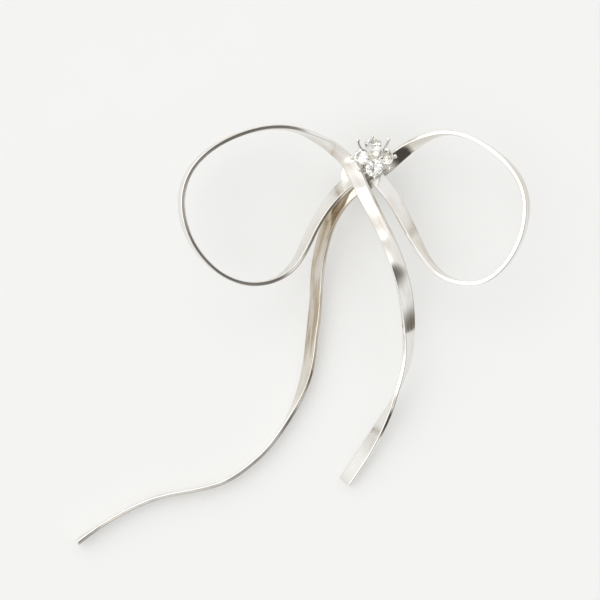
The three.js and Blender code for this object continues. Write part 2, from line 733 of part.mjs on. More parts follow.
/** The clutch's body: a flange with a bore, and a sleeve whose bore narrows towards the flange. */
function clutchBody() {
  return turned([
    [CAGE_BORE, CLUTCH.height],
    [CAGE_BORE, CONE_TOP],
    [CONE_TOP_RADIUS, CONE_TOP],
    [CLUTCH_BORE, CONE_BOTTOM],
    [CLUTCH_BORE, CLUTCH.sleeveBottom],
    [SLEEVE_RADIUS, CLUTCH.sleeveBottom],
    [SLEEVE_RADIUS, FLANGE_BOTTOM],
    [FLANGE_RADIUS - CLUTCH.edge, FLANGE_BOTTOM],
    [FLANGE_RADIUS, FLANGE_BOTTOM + CLUTCH.edge],
    [FLANGE_RADIUS, CLUTCH.height - CLUTCH.edge],
    [FLANGE_RADIUS - CLUTCH.edge, CLUTCH.height],
    [CAGE_BORE, CLUTCH.height],
  ]);
}

/** The washer pressed into the sleeve's end, which the spring pushes against. */
function retainer() {
  const inner = CAGE_RADIUS + RUNNING;
  return turned(ringProfile(inner, CLUTCH_BORE - SEAM, CLUTCH.sleeveBottom, RETAINER_TOP), 28);
}

/** The cage: a tube with a pocket for each ball, a collar for the spring, and a foot on the cap's floor. */
function ballCage() {
  const bottom = CAP.floor + SEAM;
  const top = CONE_TOP - CAGE.belowCone;
  const tube = solidOf(
    turned(
      [
        [CAGE_BORE, bottom],
        [CAGE_RADIUS, bottom],
        [CAGE_RADIUS, COLLAR_BOTTOM],
        [COLLAR_RADIUS, COLLAR_BOTTOM],
        [COLLAR_RADIUS, COLLAR_BOTTOM + CAGE.collarThickness],
        [CAGE_RADIUS, COLLAR_BOTTOM + CAGE.collarThickness],
        [CAGE_RADIUS, top],
        [CAGE_BORE, top],
        [CAGE_BORE, bottom],
      ],
      28,
    ),
  );
  let solid = tube;
  for (let k = 0; k < BALL.count; k += 1) {
    const from = new THREE.Vector3(0, 0, BALL_HEIGHT);
    const to = ballPlace(k).multiplyScalar(2).setZ(BALL_HEIGHT);
    solid = solid.subtract(solidOf(bar(from, to, BALL.radius + CAGE.pocketPlay, 16)));
  }
  return geometryOf(solid);
}

/** Where a grip ball's centre sits round the post. */
function ballPlace(k) {
  const angle = RIGHT_ANGLE + (TURN * k) / BALL.count;
  return new THREE.Vector3(BALL_ORBIT * Math.cos(angle), BALL_ORBIT * Math.sin(angle), BALL_HEIGHT);
}

/** A helix between two heights. */
class Helix extends THREE.Curve {
  constructor(radius, bottom, top, turns) {
    super();
    Object.assign(this, { radius, bottom, top, turns });
  }

  getPoint(t, target = new THREE.Vector3()) {
    const angle = TURN * this.turns * t;
    const height = this.bottom + (this.top - this.bottom) * t;
    return target.set(this.radius * Math.cos(angle), this.radius * Math.sin(angle), height);
  }
}

/** The coil spring between the retainer and the cage's collar. */
function clutchSpring() {
  const half = SPRING.wire / 2;
  const radius = (CAGE_RADIUS + CLUTCH_BORE) / 2;
  const path = new Helix(radius, RETAINER_TOP + half + SEAM, COLLAR_BOTTOM - half - SEAM, SPRING.turns);
  return closed(wireAlong(path, half, SPRING.sides, Math.round(SPRING.turns * SPRING.stepsPerTurn)));
}

/** The cap that is pulled to let go of the post: a cup with a closed flat back and a rolled lip. */
function releaseCap() {
  const inner = SLEEVE_RADIUS + CAP.gapToSleeve;
  const outer = inner + CAP.wall;
  const top = FLANGE_BOTTOM - CAP.gapToFlange;
  return turned([
    [0, 0],
    [outer - CAP.chamfer, 0],
    [outer, CAP.chamfer],
    [outer, top - CAP.lipHeight],
    [outer + CAP.lip, top - CAP.lipHeight + CAP.lip],
    [outer + CAP.lip, top - CAP.lipEdge],
    [outer + CAP.lip - CAP.lipEdge, top],
    [inner, top],
    [inner, CAP.floor],
    [0, CAP.floor],
  ]);
}

// -------------------------------------------------------------- assembly ---

/** A plain finish for the CAD view. */
function finish(color, roughness, metalness) {
  return new THREE.MeshStandardMaterial({ color, roughness, metalness });
}

const SILVER = finish(0xdedbd4, 0.12, 1);
const SETTING_SILVER = finish(0xe6e2d8, 0.18, 1);
const STEEL = finish(0xb9bcc0, 0.3, 1);
const CRYSTAL = finish(0xf2f0ea, 0.03, 0);

/** A named mesh, added to a group. */
function place(group, name, geometry, material) {
  const mesh = new THREE.Mesh(geometry, material);
  mesh.name = name;
  group.add(mesh);
  return mesh;
}

/** The flower stands tilted on its pillar, leaning towards the loops. */
function flower() {
  const group = new THREE.Group();
  group.position.set(FLOWER_PLACE.x, FLOWER_PLACE.y, FLOWER_Z);
  group.rotation.x = -FLOWER.tilt;
  place(group, 'flower_basket', basket(), SETTING_SILVER);
  for (let k = 0; k < STONE.count; k += 1) {
    const round = STONE.startAngle + (TURN * k) / STONE.count;
    const stone = place(group, `stone_${k + 1}`, brilliant(STONE.diameter), CRYSTAL);
    stone.position.copy(onDome(DOME_RADIUS, STONE.lean, round));
    stone.rotation.set(0, STONE.lean, round, 'ZYX');
    const hugging = place(group, `short_prong_${k + 1}`, shortProng(), SETTING_SILVER);
    hugging.rotation.z = round;
    const notched = place(group, `long_prong_${k + 1}`, longProng(), SETTING_SILVER);
    notched.rotation.z = round + Math.PI / STONE.count;
  }
  return group;
}

/** The locking clutch that grips the tack's pin. */
function clutch() {
  const group = new THREE.Group();
  place(group, 'clutch_body', clutchBody(), STEEL);
  place(group, 'clutch_retainer', retainer(), STEEL);
  place(group, 'clutch_spring', clutchSpring(), STEEL);
  place(group, 'ball_cage', ballCage(), STEEL);
  place(group, 'release_cap', releaseCap(), STEEL);
  for (let k = 0; k < BALL.count; k += 1) {
    place(group, `grip_ball_${k + 1}`, closed(ball(ballPlace(k), BALL.radius)), STEEL);
  }
  return group;
}

const brooch = new THREE.Group();
place(brooch, 'left_ribbon', ribbon(LEFT_RUN), SILVER);
place(brooch, 'right_ribbon', ribbon(RIGHT_RUN), SILVER);
place(brooch, 'knot_plate', knotPlate(), SILVER);
place(brooch, 'tack_post', tackPost(), STEEL);
place(brooch, 'seat_post', seatPost(), SETTING_SILVER);
brooch.add(flower(), clutch());

export default brooch;
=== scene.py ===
"""Look of a bow brooch of flat silver wire, with a stone flower at its knot and a locking clutch behind it.

Sizes are in millimetres and angles in degrees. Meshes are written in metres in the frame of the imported
model: +Z is the way the brooch faces, +Y runs from its tails to its loops.
"""
import logging
import math
from dataclasses import dataclass
from enum import Enum
from typing import Any, Mapping, Sequence

import bmesh
import bpy
from mathutils import Matrix, Vector


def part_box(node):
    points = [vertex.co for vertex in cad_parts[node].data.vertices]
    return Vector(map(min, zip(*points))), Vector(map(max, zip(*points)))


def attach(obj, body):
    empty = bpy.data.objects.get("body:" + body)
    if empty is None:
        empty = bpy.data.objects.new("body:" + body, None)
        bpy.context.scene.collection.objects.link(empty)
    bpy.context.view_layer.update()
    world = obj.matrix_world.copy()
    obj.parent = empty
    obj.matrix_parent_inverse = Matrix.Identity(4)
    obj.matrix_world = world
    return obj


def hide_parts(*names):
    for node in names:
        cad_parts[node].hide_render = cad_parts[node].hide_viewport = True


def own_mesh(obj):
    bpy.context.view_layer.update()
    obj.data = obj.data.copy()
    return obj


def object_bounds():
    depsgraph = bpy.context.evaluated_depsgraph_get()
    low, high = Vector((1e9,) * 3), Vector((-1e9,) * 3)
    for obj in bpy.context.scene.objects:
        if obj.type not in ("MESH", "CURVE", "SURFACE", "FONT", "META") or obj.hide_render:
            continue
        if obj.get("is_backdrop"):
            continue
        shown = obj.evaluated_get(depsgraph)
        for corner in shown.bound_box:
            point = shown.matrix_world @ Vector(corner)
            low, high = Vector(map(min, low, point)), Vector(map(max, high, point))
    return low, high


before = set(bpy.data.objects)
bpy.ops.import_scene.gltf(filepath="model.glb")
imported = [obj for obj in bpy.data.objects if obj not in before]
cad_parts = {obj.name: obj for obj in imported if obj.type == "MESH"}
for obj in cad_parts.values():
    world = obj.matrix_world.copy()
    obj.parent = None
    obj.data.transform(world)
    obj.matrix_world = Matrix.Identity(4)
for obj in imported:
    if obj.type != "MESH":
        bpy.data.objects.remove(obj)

LOG = logging.getLogger("brooch")
MM = 0.001
TURN = 2.0 * math.pi
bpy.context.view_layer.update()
# Corners of a turned profile that open wider than this are left as they are.
NEARLY_STRAIGHT = math.radians(170)
# Edges of turned and cut metal that fold by more than this show as edges.
SHARP = math.radians(40)

Pair = tuple[float, float]
Row = tuple[float, float, float, float]


class Body(Enum):
    """Bodies that move on their own."""

    BROOCH = "brooch"
    CLUTCH = "clutch"
    CAP = "cap"


class Slot(Enum):
    """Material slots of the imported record."""

    RIBBON = "ribbon_silver"
    SETTING = "setting_silver"
    STEEL = "tack_steel"
    CRYSTAL = "crystal"


# ------------------------------------------------------------------ nodes ---


def linear(colour: str, strength: float = 1.0) -> tuple[float, float, float, float]:
    """Turns an sRGB hex colour to linear light.

    Args:
        colour: Six hex digits after a hash.
        strength: What its light is multiplied by.

    Returns:
        Red, green, blue and an alpha of one.
    """
    channels = [int(colour[i : i + 2], 16) / 255 for i in (1, 3, 5)]
    light = [c / 12.92 if c <= 0.04045 else ((c + 0.055) / 1.055) ** 2.4 for c in channels]
    red, green, blue = (strength * c for c in light)
    return red, green, blue, 1.0


def add_node(
    tree: bpy.types.NodeTree,
    kind: str,
    settings: Mapping[str, Any] | None = None,
    links: Mapping[str | int, bpy.types.NodeSocket] | None = None,
) -> bpy.types.Node:
    """Adds a node, sets it and links its inputs.

    Args:
        tree: Node tree to add to.
        kind: Node type after "ShaderNode".
        settings: Properties of the node by name, or values of its inputs by name.
        links: Sockets that feed the node's inputs, by name or by index.

    Returns:
        The node.
    """
    node = tree.nodes.new(f"ShaderNode{kind}")
    for name, value in (settings or {}).items():
        if hasattr(node, name):
            setattr(node, name, value)
        else:
            node.inputs[name].default_value = value
    for name, source in (links or {}).items():
        tree.links.new(source, node.inputs[name])
    return node


def mixed(
    tree: bpy.types.NodeTree, share: bpy.types.NodeSocket, low: Any, high: Any
) -> bpy.types.NodeSocket:
    """Mixes two colours.

    Args:
        tree: Node tree to add to.
        share: Socket with the share of the second colour.
        low: First colour, as four numbers or a socket.
        high: Second colour, as four numbers or a socket.

    Returns:
        Socket with the mixed colour.
    """
    node = add_node(tree, "Mix", {"data_type": "RGBA"}, {0: share})
    for index, value in ((6, low), (7, high)):
        if isinstance(value, bpy.types.NodeSocket):
            tree.links.new(value, node.inputs[index])
        else:
            node.inputs[index].default_value = value
    return node.outputs[2]


def spread(
    tree: bpy.types.NodeTree, value: bpy.types.NodeSocket, start: Pair, end: Pair
) -> bpy.types.NodeSocket:
    """Maps a value smoothly from one range to another.

    Args:
        tree: Node tree to add to.
        value: Socket with the value.
        start: Range that the value is in.
        end: Range to map it to.

    Returns:
        Socket with the mapped value.
    """
    settings = {
        "interpolation_type": "SMOOTHSTEP",
        "From Min": start[0],
        "From Max": start[1],
        "To Min": end[0],
        "To Max": end[1],
    }
    return add_node(tree, "MapRange", settings, {"Value": value}).outputs["Result"]


def grain(
    tree: bpy.types.NodeTree, place: bpy.types.NodeSocket, per_unit: Sequence[float], detail: float = 3.0
) -> bpy.types.NodeSocket:
    """Makes stretched noise.

    Args:
        tree: Node tree to add to.
        place: Socket with the place on the surface.
        per_unit: How many grains a unit of place holds, along each of its axes.
        detail: Octaves of finer noise.

    Returns:
        Socket with the noise, about 0.3 to 0.7.
    """
    scaled = add_node(tree, "Mapping", {"Scale": tuple(per_unit)}, {"Vector": place})
    settings = {"Scale": 1.0, "Detail": detail, "Roughness": 0.55}
    return add_node(tree, "TexNoise", settings, {"Vector": scaled.outputs["Vector"]}).outputs["Fac"]


def relief(
    tree: bpy.types.NodeTree,
    height: bpy.types.NodeSocket,
    depth: float,
    below: bpy.types.NodeSocket | None = None,
) -> bpy.types.NodeSocket:
    """Turns a height into a bumped normal.

    Args:
        tree: Node tree to add to.
        height: Socket with the height, 0 to 1.
        depth: Height of 1, in millimetres.
        below: Socket with a normal to add the bump to.

    Returns:
        Socket with the normal.
    """
    links: dict[str | int, bpy.types.NodeSocket] = {"Height": height}
    if below is not None:
        links["Normal"] = below
    settings = {"Strength": 1.0, "Distance": depth * MM}
    return add_node(tree, "Bump", settings, links).outputs["Normal"]


def new_material(name: str) -> tuple[bpy.types.Material, bpy.types.NodeTree, bpy.types.Node]:
    """Makes an empty material with one shader.

    Args:
        name: The material's name.

    Returns:
        The material, its node tree and its shader node.
    """
    material = bpy.data.materials.new(name)
    material.use_nodes = True
    tree = material.node_tree
    tree.nodes.clear()
    shader = add_node(tree, "BsdfPrincipled")
    add_node(tree, "OutputMaterial", None, {"Surface": shader.outputs["BSDF"]})
    return material, tree, shader


def feed(tree: bpy.types.NodeTree, shader: bpy.types.Node, **sockets: bpy.types.NodeSocket) -> None:
    """Links sockets to a shader's inputs, named with underscores for spaces."""
    for name, source in sockets.items():
        tree.links.new(source, shader.inputs[name.replace("_", " ")])


# --------------------------------------------------------------- finishes ---


@dataclass(frozen=True)
class RolledSilver:
    """Sterling silver flat wire, rolled, bent by hand and polished.

    Rolling leaves fine lengthwise lines that break up a reflection along the wire. Hand bending leaves
    shallow hollows a few millimetres long, so a bright streak swells and thins. A breath of tarnish warms
    the places that are not rubbed. Warm brownish lengthwise streaks on one stretch are a painted reflection
    of a brownish room, laid into the colour.
    """

    name: str = "rolled_polished_sterling_silver"
    bright: str = "#EFEDE9"
    tarnished: str = "#DCD5CB"
    # Colour of the painted reflection of a brownish room, laid in streaks on one stretch.
    reflected_brown: str = "#BFB19A"
    reflection_streaked: Pair = (0.0, 0.0)
    roughness: Pair = (0.08, 0.2)
    line_pitch: float = 0.4
    line_length: float = 9.0
    line_depth: float = 0.004
    hollow: float = 3.4
    hollow_depth: float = 0.03
    reflection_fade: float = 10.0

    def material(self) -> bpy.types.Material:
        """Builds the material from places in millimetres along and round the wire.

        Returns:
            The material.
        """
        material, tree, shader = new_material(self.name)
        place = add_node(tree, "TexCoord").outputs["UV"]
        lines = grain(tree, place, (1 / self.line_length, 1 / self.line_pitch, 1.0), 4.0)
        hollows = grain(tree, place, (1 / self.hollow, 0.5 / self.hollow, 1.0), 1.0)
        patches = grain(tree, place, (0.07, 0.2, 1.0), 3.0)
        dull = spread(tree, patches, (0.42, 0.66), (0.0, 1.0))
        colour = mixed(tree, dull, linear(self.bright), linear(self.tarnished))
        # Painted reflection: warm brownish streaks of a reflected room laid over the silver's colour.
        colour = mixed(tree, self._painted_reflection(tree, place), colour, linear(self.reflected_brown))
        normal = relief(tree, hollows, self.hollow_depth)
        normal = relief(tree, lines, self.line_depth, normal)
        feed(
            tree,
            shader,
            Base_Color=colour,
            Roughness=spread(tree, lines, (0.35, 0.65), self.roughness),
            Normal=normal,
        )
        shader.inputs["Metallic"].default_value = 1.0
        return material

    def _painted_reflection(self, tree: bpy.types.NodeTree, place: bpy.types.NodeSocket) -> bpy.types.NodeSocket:
        """Finds where the painted reflection lies: in lengthwise streaks that fade out at the stretch's two
        ends.

        Args:
            tree: Node tree to add to.
            place: Socket with the place along and round the wire.

        Returns:
            Socket with the share of the painted reflection's brownish colour.
        """
        start, end = self.reflection_streaked
        along = add_node(tree, "SeparateXYZ", None, {"Vector": place}).outputs["X"]
        fades_in = spread(tree, along, (start, start + self.reflection_fade), (0.0, 1.0))
        fades_out = spread(tree, along, (end - self.reflection_fade, end), (1.0, 0.0))
        here = add_node(tree, "Math", {"operation": "MULTIPLY"}, {0: fades_in, 1: fades_out})
        streaks = spread(tree, grain(tree, place, (0.12, 1.3, 1.0), 3.0), (0.4, 0.62), (0.25, 1.0))
        share = add_node(tree, "Math", {"operation": "MULTIPLY"}, {0: here.outputs["Value"], 1: streaks})
        return share.outputs["Value"]


@dataclass(frozen=True)
class CastSilver:
    """Silver castings and drawn prongs, barrel polished.

    The barrel leaves a bright skin with a faint orange-peel ripple, and hollows it can't reach stay greyer.
    """

    name: str = "cast_barrelled_sterling_silver"
    bright: str = "#F6F4EE"
    grey: str = "#DAD6CE"
    roughness: Pair = (0.07, 0.2)
    ripple: float = 0.35
    ripple_depth: float = 0.006

    def material(self) -> bpy.types.Material:
        """Builds the material from places in the frame, in metres.

        Returns:
            The material.
        """
        material, tree, shader = new_material(self.name)
        place = add_node(tree, "TexCoord").outputs["Object"]
        ripples = grain(tree, place, (1 / (self.ripple * MM),) * 3, 2.0)
        patches = grain(tree, place, (0.9 / MM,) * 3, 2.0)
        dull = spread(tree, patches, (0.4, 0.7), (0.0, 1.0))
        colour = mixed(tree, dull, linear(self.bright), linear(self.grey))
        feed(
            tree,
            shader,
            Base_Color=colour,
            Roughness=spread(tree, ripples, (0.35, 0.65), self.roughness),
            Normal=relief(tree, ripples, self.ripple_depth),
        )
        shader.inputs["Metallic"].default_value = 1.0
        return material


@dataclass(frozen=True)
class TurnedNickel:
    """Nickel-plated steel, turned on a lathe: fine rings round the axis spread each highlight sideways."""

    name: str = "turned_nickel_plated_steel"
    bright: str = "#C9C7C1"
    worn: str = "#AFA9A0"
    roughness: Pair = (0.16, 0.3)
    ring_pitch: float = 0.12
    ring_depth: float = 0.003

    def material(self) -> bpy.types.Material:
        """Builds the material from the distance to the fastener's axis and the height on it.

        Returns:
            The material.
        """
        material, tree, shader = new_material(self.name)
        place = add_node(tree, "TexCoord").outputs["Object"]
        parts = add_node(tree, "SeparateXYZ", None, {"Vector": place})
        flat = add_node(tree, "CombineXYZ", None, {"X": parts.outputs["X"], "Y": parts.outputs["Y"]})
        radius = add_node(tree, "VectorMath", {"operation": "LENGTH"}, {0: flat.outputs["Vector"]})
        ring_place = add_node(
            tree, "CombineXYZ", None, {"X": radius.outputs["Value"], "Z": parts.outputs["Z"]}
        ).outputs["Vector"]
        rings = grain(tree, ring_place, (1 / (self.ring_pitch * MM),) * 3, 2.0)
        patches = grain(tree, place, (0.6 / MM,) * 3, 3.0)
        dull = spread(tree, patches, (0.4, 0.7), (0.0, 1.0))
        colour = mixed(tree, dull, linear(self.bright), linear(self.worn))
        feed(
            tree,
            shader,
            Base_Color=colour,
            Roughness=spread(tree, rings, (0.35, 0.65), self.roughness),
            Normal=relief(tree, rings, self.ring_depth),
        )
        shader.inputs["Metallic"].default_value = 1.0
        return material


@dataclass(frozen=True)
class CutZirconia:
    """Clear cubic zirconia, ground and polished flat.

    It bends what is behind it strongly and flashes at its facets.
    """

    name: str = "cut_polished_cubic_zirconia"
    clear: str = "#FFFFFF"
    warm: str = "#F1EFE2"
    roughness: Pair = (0.0, 0.03)
    refraction: float = 2.1

    def material(self) -> bpy.types.Material:
        """Builds the material, with a faint warm cloud through the stone.

        Returns:
            The material.
        """
        material, tree, shader = new_material(self.name)
        place = add_node(tree, "TexCoord").outputs["Object"]
        cloud = grain(tree, place, (0.5 / MM,) * 3, 1.0)
        tint = spread(tree, cloud, (0.35, 0.65), (0.0, 1.0))
        colour = mixed(tree, tint, linear(self.clear), linear(self.warm))
        haze = grain(tree, place, (2.0 / MM,) * 3, 1.0)
        feed(tree, shader, Base_Color=colour, Roughness=spread(tree, haze, (0.4, 0.7), self.roughness))
        shader.inputs["IOR"].default_value = self.refraction
        shader.inputs["Transmission Weight"].default_value = 1.0
        return material


@dataclass(frozen=True)
class SealedBoard:
    """White board under the brooch, lit from within so that the brooch's shadows on it stay faint."""

    name: str = "matte_lit_white_board"
    white: str = "#C3C3C2"
    shade: str = "#C0C0BF"
    mottle: float = 18.0
    roughness: float = 0.85
    sheen_level: float = 0.2
    glow: str = "#FFFFFD"
    glow_strength: float = 0.29

    def material(self) -> bpy.types.Material:
        """Builds the material from places on the board, in metres.

        Returns:
            The material.
        """
        material, tree, shader = new_material(self.name)
        place = add_node(tree, "TexCoord").outputs["Object"]
        clouds = grain(tree, place, (1 / (self.mottle * MM),) * 3, 2.0)
        feed(tree, shader, Base_Color=mixed(tree, clouds, linear(self.white), linear(self.shade)))
        shader.inputs["Roughness"].default_value = self.roughness
        shader.inputs["Specular IOR Level"].default_value = self.sheen_level
        shader.inputs["Emission Color"].default_value = linear(self.glow)
        shader.inputs["Emission Strength"].default_value = self.glow_strength
        return material


# ----------------------------------------------------------------- meshes ---


class SmoothRun:
    """A natural cubic spline through rows of numbers, measured along the chords of their x, y and z."""

    def __init__(self, rows: Sequence[Sequence[float]]) -> None:
        """Keeps the rows and works out their bends.

        Args:
            rows: Places, and any further numbers that vary with them.
        """
        self.rows = rows
        self.knots = [0.0]
        for a, b in zip(rows, rows[1:]):
            self.knots.append(self.knots[-1] + math.dist(a[:3], b[:3]))
        self.bends = [self._bends(column) for column in range(len(rows[0]))]

    @property
    def length(self) -> float:
        """Length of the run."""
        return self.knots[-1]

    def _bends(self, column: int) -> list[float]:
        """Works out one column's second derivatives.

        Args:
            column: Which number of a row.

        Returns:
            One second derivative for each row, zero at both ends.
        """
        rows, knots = self.rows, self.knots
        last = len(rows) - 1
        ratio, value = [0.0], [0.0]
        for i in range(1, last):
            before = knots[i] - knots[i - 1]
            after = knots[i + 1] - knots[i]
            slope_before = (rows[i][column] - rows[i - 1][column]) / before
            slope_after = (rows[i + 1][column] - rows[i][column]) / after
            pivot = 2 * (before + after) - before * ratio[i - 1]
            ratio.append(after / pivot)
            value.append((6 * (slope_after - slope_before) - before * value[i - 1]) / pivot)
        bends = [0.0] * len(rows)
        for i in range(last - 1, 0, -1):
            bends[i] = value[i] - ratio[i] * bends[i + 1]
        return bends

    def at(self, distance: float) -> list[float]:
        """Every column's value at a distance along the run.

        Args:
            distance: Distance from the first row.

        Returns:
            One number for each column.
        """
        i = 1
        while i < len(self.rows) - 1 and self.knots[i] < distance:
            i += 1
        span = self.knots[i] - self.knots[i - 1]
        back = (self.knots[i] - distance) / span
        ahead = 1 - back
        share = span**2 / 6
        back_bend = (back**3 - back) * share
        ahead_bend = (ahead**3 - ahead) * share
        return [
            back * start + ahead * end + back_bend * bends[i - 1] + ahead_bend * bends[i]
            for start, end, bends in zip(self.rows[i - 1], self.rows[i], self.bends)
        ]

    def heading(self, distance: float) -> Vector:
        """Direction of travel at a distance along the run.

        Args:
            distance: Distance from the first row.

        Returns:
            Unit direction.
        """
        nudge = self.length * 1e-4
        ahead = Vector(self.at(min(distance + nudge, self.length))[:3])
        behind = Vector(self.at(max(distance - nudge, 0.0))[:3])
        return (ahead - behind).normalized()


@dataclass(frozen=True)
class Station:
    """One section of a swept piece: its middle, its two axes and its outline on them."""

    centre: Vector
    across: Vector
    through: Vector
    outline: Sequence[Pair]
    along: float = 0.0

    def corners(self) -> list[Vector]:
        """Places of the outline's points."""
        return [self.centre + self.across * a + self.through * t for a, t in self.outline]


def new_object(name: str, mesh: bmesh.types.BMesh) -> bpy.types.Object:
    """Makes a smooth shaded object from a mesh in millimetres, with its faces pointing out.

    Args:
        name: The object's name.
        mesh: The mesh, which is freed.

    Returns:
        The object, linked to the scene.
    """
    bmesh.ops.recalc_face_normals(mesh, faces=mesh.faces)
    bmesh.ops.scale(mesh, vec=(MM, MM, MM), verts=mesh.verts)
    data = bpy.data.meshes.new(name)
    mesh.to_mesh(data)
    mesh.free()
    data.shade_smooth()
    piece = bpy.data.objects.new(name, data)
    bpy.context.scene.collection.objects.link(piece)
    return piece


def swept(stations: Sequence[Station]) -> bmesh.types.BMesh:
    """Joins stations into a closed sweep, with a face across each end and places along it as UVs.

    Args:
        stations: Sections in order, all with the same number of outline points.

    Returns:
        The mesh.
    """
    mesh = bmesh.new()
    layer = mesh.loops.layers.uv.new("run")
    rings = [[mesh.verts.new(corner) for corner in station.corners()] for station in stations]
    sides = len(rings[0])
    outline = stations[len(stations) // 2].outline
    round_it = [0.0]
    for k in range(sides):
        round_it.append(round_it[-1] + math.dist(outline[k], outline[(k + 1) % sides]))
    for i in range(len(rings) - 1):
        for k in range(sides):
            after = (k + 1) % sides
            face = mesh.faces.new((rings[i][k], rings[i][after], rings[i + 1][after], rings[i + 1][k]))
            here, ahead = stations[i].along, stations[i + 1].along
            near, far = round_it[k], round_it[k + 1]
            places = ((here, near), (here, far), (ahead, far), (ahead, near))
            for loop, place in zip(face.loops, places):
                loop[layer].uv = place
    for ring, station in ((rings[0], stations[0]), (rings[-1], stations[-1])):
        face = mesh.faces.new(ring)
        for loop, point in zip(face.loops, station.outline):
            loop[layer].uv = (station.along + point[1], point[0])
    return mesh


def turned(profile: Sequence[Pair], segments: int = 96) -> bmesh.types.BMesh:
    """Turns a profile round the Z axis.

    Args:
        profile: Radius and height of each point; a closed ring repeats its first point at the end.
        segments: Number of flats round the axis.

    Returns:
        The mesh.
    """
    mesh = bmesh.new()
    ring_shaped = profile[0] == profile[-1]
    points = profile[:-1] if ring_shaped else profile
    rings: list[list[bmesh.types.BMVert]] = []
    for radius, height in points:
        if radius < 1e-6:
            rings.append([mesh.verts.new((0.0, 0.0, height))])
            continue
        rings.append([mesh.verts.new((x, y, height)) for x, y in circle(radius, segments)])
    pairs = list(zip(rings, rings[1:]))
    if ring_shaped:
        pairs.append((rings[-1], rings[0]))
    for low, high in pairs:
        for k in range(segments):
            after = (k + 1) % segments
            places = ((low, k), (low, after), (high, after), (high, k))
            mesh.faces.new(list(dict.fromkeys(ring[index % len(ring)] for ring, index in places)))
    return mesh


def eased(profile: Sequence[Pair], radius: float, steps: int = 4) -> list[Pair]:
    """Rounds a turned profile's corners and adds a guard point on each side, so flats stay flat.

    Args:
        profile: Radius and height of each point.
        radius: Radius of the rounding.
        steps: Segments in each rounding.

    Returns:
        The rounded profile.
    """
    closed = profile[0] == profile[-1]
    points = [Vector(p) for p in (profile[:-1] if closed else profile)]
    result: list[Pair] = []
    for i, corner in enumerate(points):
        if not closed and i in (0, len(points) - 1):
            result.append(tuple(corner))
            continue
        before = points[i - 1] - corner
        after = points[(i + 1) % len(points)] - corner
        opening = before.angle(after)
        if opening > NEARLY_STRAIGHT:
            result.append(tuple(corner))
            continue
        reach = min(radius / math.tan(opening / 2), 0.4 * before.length, 0.4 * after.length)
        guard = min(reach * 0.35, 0.02)
        start = corner + before.normalized() * reach
        end = corner + after.normalized() * reach
        result.append(tuple(start + before.normalized() * guard))
        for k in range(steps + 1):
            t = k / steps
            result.append(tuple(start * (1 - t) ** 2 + corner * (2 * t * (1 - t)) + end * t**2))
        result.append(tuple(end + after.normalized() * guard))
    if closed:
        result.append(result[0])
    return result


def circle(radius: float, sides: int) -> list[Pair]:
    """Outline of a round wire."""
    angles = [TURN * k / sides for k in range(sides)]
    return [(radius * math.cos(a), radius * math.sin(a)) for a in angles]


def wire_stations(points: Sequence[Vector], radii: Sequence[float], sides: int) -> list[Station]:
    """Stations of a round wire, turned as little as may be from one to the next.

    Args:
        points: The wire's middle line.
        radii: The wire's radius at each point.
        sides: Number of flats round the wire.

    Returns:
        The stations.
    """
    stations: list[Station] = []
    across = Vector((0.0, 1.0, 0.0))
    along = 0.0
    for i, (point, radius) in enumerate(zip(points, radii)):
        before, after = points[max(i - 1, 0)], points[min(i + 1, len(points) - 1)]
        heading = (after - before).normalized()
        across = (across - heading * across.dot(heading)).normalized()
        along += (point - before).length
        stations.append(Station(point, across, heading.cross(across), circle(radius, sides), along))
    return stations


def apply_modifiers(piece: bpy.types.Object) -> None:
    """Writes a piece's modifiers into its mesh.

    Args:
        piece: The piece.
    """
    graph = bpy.context.evaluated_depsgraph_get()
    graph.update()
    made = bpy.data.meshes.new_from_object(piece.evaluated_get(graph))
    piece.modifiers.clear()
    old = piece.data
    piece.data = made
    bpy.data.meshes.remove(old)


def cut(piece: bpy.types.Object, mesh: bmesh.types.BMesh, operation: str = "DIFFERENCE") -> None:
    """Cuts a shape from a piece, or joins it on.

    Args:
        piece: The piece.
        mesh: The shape, in millimetres, which is freed.
        operation: "DIFFERENCE" to cut it away or "UNION" to join it on.
    """
    tool = new_object("cutter", mesh)
    modifier = piece.modifiers.new("cut", "BOOLEAN")
    modifier.operation = operation
    modifier.solver = "EXACT"
    modifier.object = tool
    apply_modifiers(piece)
    bpy.data.objects.remove(tool)


def bar(start: Vector, end: Vector, radii: Pair, sides: int) -> bmesh.types.BMesh:
    """A round bar or cone between two points, with a radius at each."""
    return swept(wire_stations([start, end], radii, sides))


def heights(node: str) -> Pair:
    """Lowest and highest point of a node, in millimetres."""
    low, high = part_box(node)
    return low.z / MM, high.z / MM


def middle(node: str) -> Vector:
    """Middle of a node's box, in millimetres."""
    low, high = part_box(node)
    return (low + high) / 2 / MM


def finish_piece(
    piece: bpy.types.Object, node: str, body: Body | str, material: bpy.types.Material
) -> bpy.types.Object:
    """Dresses a piece and puts it in place of its node.

    Args:
        piece: The piece.
        node: Node it stands for.
        body: Body it moves with.
        material: Its finish.

    Returns:
        The piece.
    """
    piece.data.materials.clear()
    piece.data.materials.append(material)
    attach(piece, body.value if isinstance(body, Body) else body)
    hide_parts(node)
    LOG.info("%s: %d faces", piece.name, len(piece.data.polygons))
    return piece


# ---------------------------------------------------------------- ribbons ---

